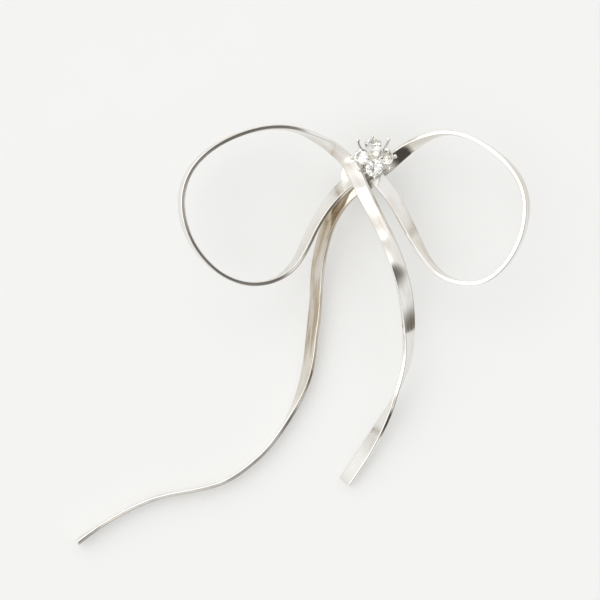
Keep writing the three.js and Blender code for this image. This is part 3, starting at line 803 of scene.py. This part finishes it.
# Each row is a place on a ribbon's middle line, x, y and z, and its lean: the turn in degrees of the ribbon's
# width from upright towards the right of the run.
LEFT_RUN: tuple[Row, ...] = (
    (-2.2, -51.6, 1.0, 232),
    (0.6, -47.4, 1.7, 234),
    (3.2, -43.0, 2.4, 222),
    (5.3, -39.1, 3.0, 195),
    (6.8, -35.4, 3.6, 172),
    (8.0, -31.4, 4.2, 157),
    (8.4, -27.3, 4.9, 141),
    (8.2, -22.8, 5.7, 118),
    (7.4, -18.0, 6.5, 104),
    (5.9, -13.2, 7.4, 78),
    (4.0, -9.0, 8.2, 60),
    (1.9, -5.0, 8.8, 60),
    (0.2, -1.6, 9.3, 62),
    (-1.4, 1.6, 9.3, 62),
    (-3.7, 4.0, 9.2, 49),
    (-7.0, 6.1, 9.4, 24),
    (-10.3, 7.5, 9.8, 6),
    (-14.2, 7.9, 10.4, 0),
    (-18.2, 7.2, 10.9, -3),
    (-22.0, 5.7, 11.5, -6),
    (-25.3, 3.6, 12.0, -11),
    (-27.9, 0.7, 12.4, -15),
    (-29.3, -3.0, 12.6, -17),
    (-29.2, -7.0, 12.5, -15),
    (-27.7, -11.2, 12.1, -11),
    (-25.0, -14.7, 11.6, -5),
    (-21.5, -17.2, 11.0, -2),
    (-17.6, -18.1, 10.2, 0),
    (-14.0, -17.4, 9.5, 5),
    (-11.2, -15.3, 8.9, 20),
    (-9.3, -12.3, 8.5, 31),
    (-7.8, -9.1, 8.2, 36),
    (-6.0, -6.0, 7.9, 38),
    (-3.9, -3.2, 7.7, 47),
    (-1.6, -1.0, 7.5, 56),
    (-0.2, 0.1, 7.45, 60),
)

RIGHT_RUN: tuple[Row, ...] = (
    (-47.6, -61.8, 1.4, 8),
    (-43.6, -59.0, 1.3, 2),
    (-39.1, -56.4, 1.3, 0),
    (-34.0, -54.3, 1.3, 0),
    (-28.4, -53.1, 1.3, 0),
    (-23.1, -51.7, 1.3, 0),
    (-18.7, -49.0, 1.3, 0),
    (-15.0, -45.5, 1.3, 0),
    (-12.0, -41.2, 1.35, 6),
    (-9.9, -37.0, 1.45, 22),
    (-8.5, -32.3, 1.6, 40),
    (-7.8, -27.0, 1.9, 47),
    (-7.2, -21.3, 2.4, 49),
    (-6.9, -16.0, 3.2, 50),
    (-6.0, -11.0, 4.5, 54),
    (-4.2, -6.3, 5.8, 60),
    (-1.7, -3.0, 6.75, 76),
    (1.2, -0.8, 6.9, 94),
    (4.2, 1.4, 6.95, 105),
    (7.2, 3.9, 7.2, 122),
    (10.5, 6.0, 7.7, 154),
    (14.2, 7.1, 8.3, 177),
    (18.2, 6.4, 8.9, 186),
    (21.9, 4.3, 9.5, 191),
    (25.1, 1.4, 10.0, 196),
    (27.2, -2.3, 10.3, 199),
    (27.6, -6.6, 10.3, 198),
    (26.4, -11.4, 10.0, 193),
    (23.8, -15.4, 9.6, 188),
    (20.4, -17.7, 9.1, 182),
    (16.7, -17.8, 8.6, 176),
    (13.4, -16.3, 8.3, 163),
    (10.9, -13.5, 8.1, 150),
    (9.2, -10.4, 8.0, 134),
    (7.65, -7.4, 8.0, 126),
    (5.95, -4.3, 8.0, 118),
    (4.2, -1.9, 7.95, 110),
    (2.95, -0.35, 7.9, 105),
)


# The stretch of the longer tail that carries streaks of painted reflection, warm brownish, in millimetres
# from its tip.
PAINTED_REFLECTION_STRETCH: Pair = (46.0, 92.0)


@dataclass
class Ribbon:
    """A flat wire that makes one loop, its crossing at the knot and one tail."""

    node: str
    rows: Sequence[Row]
    width: float = 2.5
    thickness: float = 0.73
    corner: float = 0.16
    corner_steps: int = 4
    guard: float = 0.03
    end_bevel: float = 0.05
    step: float = 0.25
    waver: float = 1.1
    slow_waver: float = 17.0
    quick_waver: float = 6.3
    phase: float = 0.0
    edge_angle: float = 50.0

    def section(self, shrink: float = 0.0) -> list[Pair]:
        """The wire's section, with round corners and a guard point beside each.

        Args:
            shrink: How far the section draws in, for a filed end.

        Returns:
            Points across the width and through the thickness.
        """
        half, deep = self.width / 2 - shrink, self.thickness / 2 - shrink
        ease = self.corner
        quarter: list[Pair] = [(half, deep - ease - self.guard)]
        for k in range(self.corner_steps + 1):
            turn = TURN / 4 * k / self.corner_steps
            quarter.append((half - ease + ease * math.cos(turn), deep - ease + ease * math.sin(turn)))
        quarter.append((half - ease - self.guard, deep))
        quarter.append((half / 3, deep))
        upper = quarter + [(-a, t) for a, t in reversed(quarter)]
        return upper + [(-a, -t) for a, t in upper]

    def lean_at(self, distance: float) -> float:
        """Small turn of the wire left by bending it by hand.

        Args:
            distance: Distance along the wire.

        Returns:
            The turn, in degrees.
        """
        slow = math.sin(TURN * distance / self.slow_waver + self.phase)
        quick = math.sin(TURN * distance / self.quick_waver + 2.0 * self.phase)
        return self.waver * (0.65 * slow + 0.35 * quick)

    def build(self, material: bpy.types.Material) -> bpy.types.Object:
        """Builds the ribbon.

        Args:
            material: Its finish.

        Returns:
            The piece.
        """
        run = SmoothRun(self.rows)
        steps = round(run.length / self.step)
        bevel = self.end_bevel
        distances = [0.0, bevel / 2, bevel]
        distances += [run.length * i / steps for i in range(1, steps)]
        distances += [run.length - bevel, run.length - bevel / 2, run.length]
        stations: list[Station] = []
        for distance in distances:
            x, y, z, lean = run.at(distance)
            heading = run.heading(distance)
            side = heading.cross(Vector((0.0, 0.0, 1.0))).normalized()
            upright = side.cross(heading)
            turn = math.radians(lean + self.lean_at(distance))
            across = upright * math.cos(turn) + side * math.sin(turn)
            end = min(distance, run.length - distance)
            shrink = bevel * (1 - min(end / bevel, 1.0)) ** 2
            outline = self.section(shrink)
            stations.append(Station(Vector((x, y, z)), across, heading.cross(across), outline, distance))
        piece = new_object(f"{self.node}_wire", swept(stations))
        piece.data.set_sharp_from_angle(angle=math.radians(self.edge_angle))
        return finish_piece(piece, self.node, Body.BROOCH, material)


# ------------------------------------------------------------ knot, flower ---


@dataclass
class KnotPlate:
    """The plate soldered behind the knot, with a round end under the knot and one under the flower."""

    knot_radius: float = 3.0
    flower_radius: float = 1.7
    edge: float = 0.12
    edge_steps: int = 5
    knot_steps: int = 48
    flower_steps: int = 32

    def outline(self, centre: Vector, shrink: float) -> list[Pair]:
        """The plate's outline, drawn in by a distance.

        Args:
            centre: Middle of the end under the flower.
            shrink: How far the outline draws in.

        Returns:
            Points round the plate.
        """
        span = centre.length
        heading = math.atan2(centre.y, centre.x)
        flare = math.acos((self.knot_radius - self.flower_radius) / span)
        points: list[Pair] = []
        radius = self.knot_radius - shrink
        for k in range(self.knot_steps + 1):
            turn = heading + flare + (TURN - 2 * flare) * k / self.knot_steps
            points.append((radius * math.cos(turn), radius * math.sin(turn)))
        radius = self.flower_radius - shrink
        for k in range(self.flower_steps + 1):
            turn = heading - flare + 2 * flare * k / self.flower_steps
            points.append((centre.x + radius * math.cos(turn), centre.y + radius * math.sin(turn)))
        return points

    def build(self, material: bpy.types.Material) -> bpy.types.Object:
        """Builds the plate between the heights that its node has.

        Args:
            material: Its finish.

        Returns:
            The piece.
        """
        bottom, top = heights("knot_plate")
        centre = middle("seat_post").xy
        turns = [TURN / 4 * step / self.edge_steps for step in range(self.edge_steps + 1)]
        levels = [(bottom + self.edge * (1 - math.cos(turn)), turn) for turn in turns]
        levels += [(top - self.edge * (1 - math.cos(turn)), turn) for turn in reversed(turns)]
        stations: list[Station] = []
        for height, turn in levels:
            outline = self.outline(centre, self.edge * (1 - math.sin(turn)))
            axes = Vector((1.0, 0.0, 0.0)), Vector((0.0, 1.0, 0.0))
            stations.append(Station(Vector((0.0, 0.0, height)), *axes, outline, height))
        piece = new_object("knot_plate_blank", swept(stations))
        piece.data.set_sharp_from_angle(angle=SHARP)
        return finish_piece(piece, "knot_plate", Body.BROOCH, material)


@dataclass
class Flower:
    """A basket of four stones with ball-ended prongs, tilted on a pillar towards the loops."""

    tilt: float = 15.0
    seam: float = 0.03
    count: int = 4
    start_angle: float = 2.0
    stone: float = 2.8
    spacing: float = 0.17
    lean: float = 30.0
    girdle: float = 0.05
    pavilion: float = 0.41
    culet_room: float = 0.95
    wall: float = 0.38
    below_girdle: float = 0.45
    base_radius: float = 1.8
    floor: float = 0.35
    rim_margin: float = 1.59
    rim_band: float = 0.17
    seat_play: float = 0.06
    window: float = 0.42
    window_from_short: float = 22.0
    window_from_long: float = 23.0
    bead: float = 0.42
    bead_drop: float = 0.05
    stem: float = 0.24
    wire: float = 0.21
    long_ball: float = 0.36
    long_flare: float = 0.55
    long_reach: float = 2.2
    short_ball: float = 0.27
    short_reach: float = 0.6
    beside_gap: float = 0.16
    foot_lift: float = 0.05
    gallery_bulge: float = 1.25
    wire_ease: float = 0.07
    pillar_ease: float = 0.06
    voxel: float = 0.06
    fine: int = 96
    coarse: int = 24
    wire_sides: int = 20
    ball_rings: int = 15

    def __post_init__(self) -> None:
        """Works out the ball that the four girdles are centred on, and the basket's rim."""
        self.ring = (self.stone + self.spacing) / (2 * math.sin(math.pi / self.count))
        self.dome = self.ring / math.sin(math.radians(self.lean))
        depth = self.stone * (self.pavilion + self.girdle / 2)
        drop = (self.dome - depth) * math.cos(math.radians(self.lean))
        self.depth = depth
        self.centre = self.floor + self.culet_room - drop
        self.outer = self.dome - self.below_girdle
        seat = self.seat_radius(self.below_girdle)
        self.rim = self.lean + math.degrees(math.asin(seat / self.outer)) + self.rim_margin
        self.rim_radius = self.outer * math.sin(math.radians(self.rim))
        self.rim_height = self.centre + self.outer * math.cos(math.radians(self.rim))

    def seat_radius(self, depth: float) -> float:
        """Radius of a stone's seat at a depth below its girdle's middle."""
        half_girdle = self.stone * self.girdle / 2
        return self.stone / 2 * (1 - (depth - half_girdle) / (self.stone * self.pavilion)) + self.seat_play

    def place(self) -> Matrix:
        """Finds the flower's own frame, on top of its pillar.

        Returns:
            The frame, in millimetres.
        """
        pillar = middle("seat_post")
        height = heights("seat_post")[1] + self.seam / math.cos(math.radians(self.tilt))
        turn = Matrix.Rotation(-math.radians(self.tilt), 4, "X")
        return Matrix.Translation((pillar.x, pillar.y, height)) @ turn

    def on_dome(self, radius: float, down: float, round_it: float) -> Vector:
        """Finds a place on a ball about the flower's axis.

        Args:
            radius: The ball's radius.
            down: Angle down from its top, in degrees.
            round_it: Angle round the axis, in degrees.

        Returns:
            The place, in the flower's frame.
        """
        down_r, round_r = math.radians(down), math.radians(round_it)
        out = radius * math.sin(down_r)
        height = self.centre + radius * math.cos(down_r)
        return Vector((out * math.cos(round_r), out * math.sin(round_r), height))

    def angle(self, index: int) -> float:
        """Angle of a stone round the flower, in degrees."""
        return self.start_angle + 360 * index / self.count

    def build_pillar(self, material: bpy.types.Material) -> bpy.types.Object:
        """Builds the pillar between the plate and the basket.

        Args:
            material: Its finish.

        Returns:
            The piece.
        """
        low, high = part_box("seat_post")
        radius = (high.x - low.x) / 2 / MM
        dome = radius * math.tan(math.radians(self.tilt)) + self.seam
        bottom, top = heights("seat_post")
        profile = [(0.0, bottom), (radius, bottom), (radius, top - dome), (0.0, top)]
        mesh = turned(eased(profile, self.pillar_ease), self.fine // 2)
        centre = middle("seat_post")
        bmesh.ops.translate(mesh, vec=(centre.x, centre.y, 0.0), verts=mesh.verts)
        piece = new_object("flower_pillar", mesh)
        return finish_piece(piece, "seat_post", Body.BROOCH, material)

    def _dome_profile(
        self, foot: float, height: float, radius: float, rim: float, steps: int = 14
    ) -> list[Pair]:
        """Draws a dome on its foot, for turning.

        Args:
            foot: Radius of the foot.
            height: Height of the foot.
            radius: Radius of the dome.
            rim: Angle of the dome's rim down from its top, in degrees.
            steps: Segments in the dome's arc.

        Returns:
            Radius and height of each point.
        """
        arc: list[Pair] = []
        for i in range(steps + 1):
            down = math.radians(rim * (1 - i / steps))
            arc.append((radius * math.sin(down), self.centre + radius * math.cos(down)))
        arc[-1] = (0.0, arc[-1][1])
        return [(0.0, height), (foot, height), *arc]

    def _hollow_profile(self) -> list[Pair]:
        """Draws the basket's inside, for turning, one wall in from the dome and from the sloping gallery.

        Returns:
            Radius and height of each point.
        """
        inner = self.outer - self.wall
        foot = Vector((self.base_radius, 0.0))
        way = (Vector((self.rim_radius, self.rim_height)) - foot).normalized()
        start = foot + Vector((-way.y, way.x)) * self.wall
        foot_radius = start.x + way.x / way.y * (self.floor - start.y)
        start.y -= self.centre
        along = start.dot(way)
        rim = start + way * (math.sqrt(along**2 - start.length_squared + inner**2) - along)
        return self._dome_profile(foot_radius, self.floor, inner, math.degrees(math.atan2(rim.x, rim.y)))

    def build_basket(self, material: bpy.types.Material) -> bpy.types.Object:
        """Builds the basket: a pierced dome and gallery, cast in one with the bead between the stones.

        Args:
            material: Its finish.

        Returns:
            The piece.
        """
        blank = self._dome_profile(self.base_radius, 0.0, self.outer, self.rim)
        piece = new_object("flower_basket_casting", turned(blank, self.fine))
        cutters = [turned(self._hollow_profile(), self.fine)]
        height = self.rim_height - self.rim_band - self.window
        axis = Vector((0.0, 0.0, height))
        reach = 2 * self.outer
        for index in range(self.count):
            angle = self.angle(index)
            seat = [self.on_dome(self.dome - depth, self.lean, angle) for depth in (self.depth, 0.0)]
            cutters.append(bar(*seat, (self.seat_play, self.seat_radius(0.0)), 64))
            for turn in (angle + self.window_from_short, angle + 180.0 / self.count + self.window_from_long):
                way = math.radians(turn)
                beyond = Vector((reach * math.cos(way), reach * math.sin(way), height))
                cutters.append(bar(axis, beyond, (self.window, self.window), self.coarse))
        for mesh in cutters:
            cut(piece, mesh)
        bead = self.on_dome(self.dome - self.bead_drop, 0.0, 0.0)
        stem_foot = self.on_dome(self.outer - self.wall / 2, 0.0, 0.0)
        cut(piece, bar(stem_foot, bead, (self.stem, self.stem), self.coarse), "UNION")
        ball = bmesh.new()
        bmesh.ops.create_icosphere(ball, subdivisions=4, radius=self.bead, matrix=Matrix.Translation(bead))
        cut(piece, ball, "UNION")
        self._soften(piece)
        self._settle(piece)
        return finish_piece(piece, "flower_basket", Body.BROOCH, material)

    def _soften(self, piece: bpy.types.Object) -> None:
        """Rounds a casting's edges as barrel polishing does.

        Args:
            piece: The casting.
        """
        remesh = piece.modifiers.new("skin", "REMESH")
        remesh.mode = "VOXEL"
        remesh.voxel_size = self.voxel * MM
        remesh.use_smooth_shade = True
        smooth = piece.modifiers.new("polish", "SMOOTH")
        smooth.factor = 0.5
        smooth.iterations = 4
        apply_modifiers(piece)
        piece.data.shade_smooth()

    def _settle(self, piece: bpy.types.Object, turn: float = 0.0) -> None:
        """Puts a piece made in the flower's frame in its place, turned round the flower's axis first."""
        to_frame = Matrix.Scale(MM, 4) @ self.place() @ Matrix.Rotation(math.radians(turn), 4, "Z")
        piece.data.transform(to_frame @ Matrix.Scale(1 / MM, 4))

    def _gallery_path(self) -> list[Pair]:
        """Lays a prong's way up the outside of the gallery.

        Returns:
            Distance out from the flower's axis and height of each point.
        """
        clear = self.wire + 3 * self.seam
        halfway = (self.base_radius + self.rim_radius) / 2 + clear * self.gallery_bulge
        return [
            (self.base_radius + clear, self.foot_lift),
            (halfway, self.rim_height / 2),
            (self.rim_radius + clear, self.rim_height),
        ]

    def _prong(self, name: str, path: Sequence[Pair], ball: float, turn: float) -> bpy.types.Object:
        """Builds a prong: a drawn wire melted to a ball at its end.

        Args:
            name: The piece's name.
            path: Distance out from the flower's axis and height of each point.
            ball: Radius of the ball.
            turn: Angle round the flower, in degrees.

        Returns:
            The piece, in place.
        """
        run = SmoothRun([(out, 0.0, height) for out, height in path])
        ease, steps = self.wire_ease, self.coarse
        neck = run.length - math.sqrt(ball**2 - self.wire**2)
        distances = [0.0, ease * 0.3, ease]
        radii = [self.wire - ease, self.wire - ease * 0.3, self.wire]
        for k in range(1, steps):
            distances.append(ease + (neck - 2 * ease) * k / steps)
            radii.append(self.wire)
        points = [Vector(run.at(distance)) for distance in distances]
        tip = Vector(run.at(run.length))
        heading = run.heading(run.length)
        start = math.asin(self.wire / ball)
        for k in range(self.ball_rings):
            # The last ring stays just short of the ball's pole, where one face closes it.
            turn_here = start + (math.pi - start) * k / (self.ball_rings - 0.7)
            points.append(tip - heading * ball * math.cos(turn_here))
            radii.append(ball * math.sin(turn_here))
        piece = new_object(name, swept(wire_stations(points, radii, self.wire_sides)))
        self._settle(piece, turn)
        return piece

    def build_prongs(self, material: bpy.types.Material) -> None:
        """Builds the short prongs at the stones' outer ends and the long ones between them.

        Args:
            material: Their finish.
        """
        lean = math.radians(self.lean)
        reach = self.ring + self.stone / 2 * math.cos(lean)
        edge = self.centre + self.dome * math.cos(lean) - self.stone / 2 * math.sin(lean)
        gallery = self._gallery_path()
        out, height = gallery[-1]
        beside = (reach + self.wire + self.beside_gap, edge)
        hugging = [*gallery, beside, (reach + self.wire + self.seam, edge + self.short_reach)]
        notched = [*gallery, (out + self.long_flare, height + self.long_reach)]
        for index in range(self.count):
            angle = self.angle(index)
            name = f"short_prong_{index + 1}"
            piece = self._prong(f"{name}_wire", hugging, self.short_ball, angle)
            finish_piece(piece, name, Body.BROOCH, material)
            name = f"long_prong_{index + 1}"
            piece = self._prong(f"{name}_wire", notched, self.long_ball, angle + 180 / self.count)
            finish_piece(piece, name, Body.BROOCH, material)

    def dress_stones(self, material: bpy.types.Material) -> None:
        """Gives the cut stones their finish.

        Args:
            material: Their finish.
        """
        for index in range(self.count):
            dress_node(f"stone_{index + 1}", material)


def dress_node(node: str, material: bpy.types.Material) -> None:
    """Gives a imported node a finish.

    Args:
        node: The node's name.
        material: Its finish.
    """
    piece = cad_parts[node]
    if not piece.material_slots:
        piece.data.materials.append(material)
    for place in piece.material_slots:
        place.material = material
    LOG.info("%s: dressed in %s", node, material.name)


# --------------------------------------------------------------- fastener ---


@dataclass
class Fastener:
    """The tack and its locking clutch: a sprung cage of balls in a cone, let go by pulling the cap."""

    edge: float = 0.06
    cage_edge: float = 0.03
    cap_edge: float = 0.1
    flange_radius: float = 2.95
    flange: float = 0.6
    sleeve_radius: float = 2.1
    sleeve_bottom: float = 1.3
    bore: float = 1.65
    cone_top_radius: float = 1.0
    cone_slope: float = 0.5
    cone_below_flange: float = 0.1
    post_radius: float = 0.5
    pad_radius: float = 2.0
    pad: float = 0.3
    tip_radius: float = 0.12
    tip_length: float = 0.6
    tip_height: float = 0.03
    cage_gap: float = 0.12
    cage_wall: float = 0.43
    collar_radius: float = 1.5
    collar: float = 0.25
    retainer: float = 0.3
    running: float = 0.1
    seam: float = 0.03
    ball: float = 0.38
    balls: int = 3
    ball_play: float = 0.04
    spring_wire: float = 0.16
    spring_turns: float = 2.5
    spring_room: float = 1.0
    spring_steps: int = 48
    spring_sides: int = 14
    spring_end: float = 0.7
    travel: float = 0.5
    cap_wall: float = 0.4
    cap_floor: float = 0.35
    cap_gap: float = 0.25
    cap_below_flange: float = 0.3
    lip: float = 0.2
    lip_height: float = 0.5
    chamfer: float = 0.25

    def __post_init__(self) -> None:
        """Works out the heights that follow from the clutch's own node."""
        self.top = heights("clutch_body")[1]
        self.flange_bottom = self.top - self.flange
        self.cone_top = self.flange_bottom - self.cone_below_flange
        self.cone_bottom = self.cone_top - (self.bore - self.cone_top_radius) / self.cone_slope
        self.cage_bore = self.post_radius + self.cage_gap
        self.cage_radius = self.cage_bore + self.cage_wall
        self.retainer_top = self.sleeve_bottom + self.retainer
        self.collar_bottom = self.retainer_top + self.spring_room

    def _turned_piece(
        self, name: str, node: str, body: Body, profile: Sequence[Pair], material: bpy.types.Material
    ) -> bpy.types.Object:
        """Turns a piece of the fastener and puts it in place of its node.

        Args:
            name: The piece's name.
            node: Node it stands for.
            body: Body it moves with.
            profile: Radius and height of each point.
            material: Its finish.

        Returns:
            The piece.
        """
        piece = new_object(name, turned(eased(profile, self.edge), 96))
        piece.data.set_sharp_from_angle(angle=SHARP)
        return finish_piece(piece, node, body, material)

    def build_tack(self, material: bpy.types.Material) -> None:
        """Builds the tack: a round pad with a pointed pin below it.

        Args:
            material: Its finish.
        """
        tip, top = heights("tack_post")
        profile = [
            (0.0, tip),
            (self.tip_radius, tip + self.tip_height),
            (self.post_radius, tip + self.tip_length),
            (self.post_radius, top - self.pad),
            (self.pad_radius, top - self.pad),
            (self.pad_radius, top),
            (0.0, top),
        ]
        self._turned_piece("tack_pin", "tack_post", Body.BROOCH, profile, material)

    def build_body(self, material: bpy.types.Material) -> None:
        """Builds the clutch's flanged body and the washer pressed into its sleeve.

        Args:
            material: Their finish.
        """
        profile = [
            (self.cage_bore, self.top),
            (self.cage_bore, self.cone_top),
            (self.cone_top_radius, self.cone_top),
            (self.bore, self.cone_bottom),
            (self.bore, self.sleeve_bottom),
            (self.sleeve_radius, self.sleeve_bottom),
            (self.sleeve_radius, self.flange_bottom),
            (self.flange_radius, self.flange_bottom),
            (self.flange_radius, self.top),
            (self.cage_bore, self.top),
        ]
        self._turned_piece("clutch_shell", "clutch_body", Body.CLUTCH, profile, material)
        inner, outer = self.cage_radius + self.running, self.bore - self.seam
        washer = ring_profile(inner, outer, self.sleeve_bottom, self.retainer_top)
        self._turned_piece("clutch_washer", "clutch_retainer", Body.CLUTCH, washer, material)

    def build_cage(self, material: bpy.types.Material) -> None:
        """Builds the ball cage: a collared tube with a pocket for each ball.

        Args:
            material: Its finish.
        """
        bottom, top = heights("ball_cage")
        profile = [
            (self.cage_bore, bottom),
            (self.cage_radius, bottom),
            (self.cage_radius, self.collar_bottom),
            (self.collar_radius, self.collar_bottom),
            (self.collar_radius, self.collar_bottom + self.collar),
            (self.cage_radius, self.collar_bottom + self.collar),
            (self.cage_radius, top),
            (self.cage_bore, top),
            (self.cage_bore, bottom),
        ]
        piece = new_object("cage_tube", turned(eased(profile, self.cage_edge), 96))
        pocket = self.ball + self.ball_play
        for index in range(self.balls):
            ball = middle(f"grip_ball_{index + 1}")
            # The cutter runs from the axis to well beyond the cage's wall.
            start, end = Vector((0.0, 0.0, ball.z)), Vector((ball.x * 2.2, ball.y * 2.2, ball.z))
            cut(piece, bar(start, end, (pocket, pocket), 40))
        piece.data.shade_smooth()
        piece.data.set_sharp_from_angle(angle=math.radians(30))
        finish_piece(piece, "ball_cage", Body.CAP, material)

    def build_balls(self, material: bpy.types.Material) -> None:
        """Builds the balls that grip the pin.

        Args:
            material: Their finish.
        """
        for index in range(self.balls):
            node = f"grip_ball_{index + 1}"
            mesh = bmesh.new()
            place = Matrix.Translation(middle(node))
            bmesh.ops.create_icosphere(mesh, subdivisions=4, radius=self.ball, matrix=place)
            piece = new_object(f"{node}_steel", mesh)
            finish_piece(piece, node, f"ball_{index + 1}", material)

    def build_spring(self, material: bpy.types.Material) -> None:
        """Builds the coil spring at rest, though on the real clutch it shortens as the cap is pulled.

        Args:
            material: Its finish.
        """
        half = self.spring_wire / 2
        radius = (self.cage_radius + self.bore) / 2
        bottom, top = self.retainer_top + half + self.seam, self.collar_bottom - half - self.seam
        steps = round(self.spring_turns * self.spring_steps)
        points: list[Vector] = []
        for k in range(steps + 1):
            turn = TURN * self.spring_turns * k / steps
            height = bottom + (top - bottom) * k / steps
            points.append(Vector((radius * math.cos(turn), radius * math.sin(turn), height)))
        snipped = half * self.spring_end
        radii = [snipped, *[half] * (steps - 1), snipped]
        piece = new_object("clutch_coil", swept(wire_stations(points, radii, self.spring_sides)))
        finish_piece(piece, "clutch_spring", Body.CLUTCH, material)
        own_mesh(piece)

    def build_cap(self, material: bpy.types.Material) -> None:
        """Builds the cap: a closed cup with a rolled lip to pull by.

        Args:
            material: Its finish.
        """
        inner = self.sleeve_radius + self.cap_gap
        outer = inner + self.cap_wall
        top = self.flange_bottom - self.cap_below_flange
        profile = [
            (0.0, 0.0),
            (outer - self.chamfer, 0.0),
            (outer, self.chamfer),
            (outer, top - self.lip_height),
            (outer + self.lip, top - self.lip_height + self.lip),
            (outer + self.lip, top),
            (inner, top),
            (inner, self.cap_floor),
            (0.0, self.cap_floor),
        ]
        piece = new_object("cap_cup", turned(eased(profile, self.cap_edge), 128))
        piece.data.set_sharp_from_angle(angle=SHARP)
        finish_piece(piece, "release_cap", Body.CAP, material)


def ring_profile(inner: float, outer: float, bottom: float, top: float) -> list[Pair]:
    """A ring's closed profile between two radii and two heights."""
    return [(inner, bottom), (outer, bottom), (outer, top), (inner, top), (inner, bottom)]


# ----------------------------------------------------------------- studio ---


@dataclass(frozen=True)
class Patch:
    """A soft round patch of the room round the brooch, as the silver mirrors it."""

    azimuth: float
    elevation: float
    inner: float
    outer: float
    colour: str
    strength: float

    def towards(self) -> Vector:
        """Works out where the patch's middle lies.

        Returns:
            Unit direction.
        """
        azimuth, elevation = math.radians(self.azimuth), math.radians(self.elevation)
        level = math.cos(elevation)
        return Vector((level * math.cos(azimuth), level * math.sin(azimuth), math.sin(elevation)))


FLOOR_LINE = "#D3D1CE"
# From the widest to the last laid on top: the ceiling, the big window at the upper left, furniture low on
# the right, a dark doorway at the lower right, a lamp at the lower left and the camera's shade overhead.
ROOM: tuple[Patch, ...] = (
    Patch(0.0, 90.0, 62.0, 89.0, "#E4E4E4", 1.0),
    Patch(152.0, 60.0, 14.0, 44.0, "#FFFFFE", 1.7),
    Patch(-20.0, 8.0, 6.0, 32.0, "#6C6760", 1.0),
    Patch(-55.0, 29.0, 14.0, 32.0, "#4A4643", 1.0),
    Patch(-141.0, 33.0, 1.0, 7.0, "#FFFFFE", 1.5),
    Patch(-5.0, 76.0, 6.0, 27.0, "#66635F", 1.0),
)


@dataclass
class Studio:
    """A pale board, a soft light from the left and a camera straight above."""

    board_size: float = 3000.0
    board_drop: float = 0.01
    view_middle: Pair = (-9.86, -20.74)
    view_width: float = 102.0
    view_height: float = 420.0
    sensor: float = 36.0
    backdrop: str = "#F4F4F2"
    exposure: float = 0.29

    def build_board(self, material: bpy.types.Material) -> None:
        """Lays the board just under the brooch.

        Args:
            material: Its finish.
        """
        mesh = bmesh.new()
        bmesh.ops.create_circle(mesh, cap_ends=True, segments=96, radius=self.board_size / 2)
        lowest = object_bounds()[0].z / MM
        bmesh.ops.translate(mesh, vec=(0.0, 0.0, lowest - self.board_drop), verts=mesh.verts)
        board = new_object("board", mesh)
        board.data.materials.append(material)
        board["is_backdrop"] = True

    def _share(self, tree: bpy.types.NodeTree, patch: Patch) -> bpy.types.NodeSocket:
        """How much of a patch shows in each direction.

        Args:
            tree: The world's node tree.
            patch: The patch.

        Returns:
            Socket with the share, 1 inside the patch's inner angle and 0 beyond its outer one.
        """
        way = add_node(tree, "TexCoord").outputs["Generated"]
        dot = add_node(tree, "VectorMath", {"operation": "DOT_PRODUCT"}, {0: way})
        dot.inputs[1].default_value = patch.towards()
        edges = math.cos(math.radians(patch.outer)), math.cos(math.radians(patch.inner))
        return spread(tree, dot.outputs["Value"], edges, (0.0, 1.0))

    def light(self) -> None:
        """Lights the set with a pale room that has a window, a dim side and the camera's shade overhead."""
        world = bpy.data.worlds.new("studio")
        bpy.context.scene.world = world
        world.use_nodes = True
        tree = world.node_tree
        tree.nodes.clear()
        sky: Any = linear(FLOOR_LINE)
        for patch in ROOM:
            sky = mixed(tree, self._share(tree, patch), sky, linear(patch.colour, patch.strength))
        seen = add_node(tree, "LightPath").outputs["Is Camera Ray"]
        sky = mixed(tree, seen, sky, linear(self.backdrop))
        background = add_node(tree, "Background", {"Strength": 1.0}, {"Color": sky})
        add_node(tree, "OutputWorld", None, {"Surface": background.outputs["Background"]})

    def build_camera(self) -> None:
        """Hangs the camera straight above, wide enough for the bow with room round it."""
        data = bpy.data.cameras.new("camera")
        data.sensor_width = self.sensor
        data.lens = self.sensor * self.view_height / self.view_width
        data.clip_start = 0.01
        data.clip_end = 10.0
        camera = bpy.data.objects.new("camera", data)
        camera.location = (self.view_middle[0] * MM, self.view_middle[1] * MM, self.view_height * MM)
        bpy.context.scene.collection.objects.link(camera)
        bpy.context.scene.camera = camera

    def expose(self) -> None:
        """Keeps whites plain and clean."""
        view = bpy.context.scene.view_settings
        view.view_transform = "Standard"
        view.exposure = self.exposure


def main() -> None:
    """Builds the brooch and its set."""
    logging.basicConfig(level=logging.INFO, format="%(name)s: %(message)s")
    rolled = RolledSilver().material()
    # The longer tail's silver carries a painted reflection in warm brownish streaks.
    reflection_streaked = RolledSilver("rolled_sterling_silver_painted_reflection", reflection_streaked=PAINTED_REFLECTION_STRETCH).material()
    cast = CastSilver().material()
    nickel = TurnedNickel().material()
    zirconia = CutZirconia().material()

    Ribbon("left_ribbon", LEFT_RUN, phase=0.4).build(rolled)
    Ribbon("right_ribbon", RIGHT_RUN, phase=2.1).build(reflection_streaked)
    KnotPlate().build(rolled)

    flower = Flower()
    flower.build_pillar(cast)
    flower.build_basket(cast)
    flower.build_prongs(cast)
    flower.dress_stones(zirconia)

    fastener = Fastener()
    fastener.build_tack(nickel)
    fastener.build_body(nickel)
    fastener.build_cage(nickel)
    fastener.build_balls(nickel)
    fastener.build_spring(nickel)
    fastener.build_cap(nickel)

    studio = Studio()
    studio.build_board(SealedBoard().material())
    studio.light()
    studio.build_camera()
    studio.expose()


if __name__ == "__main__":
    main()
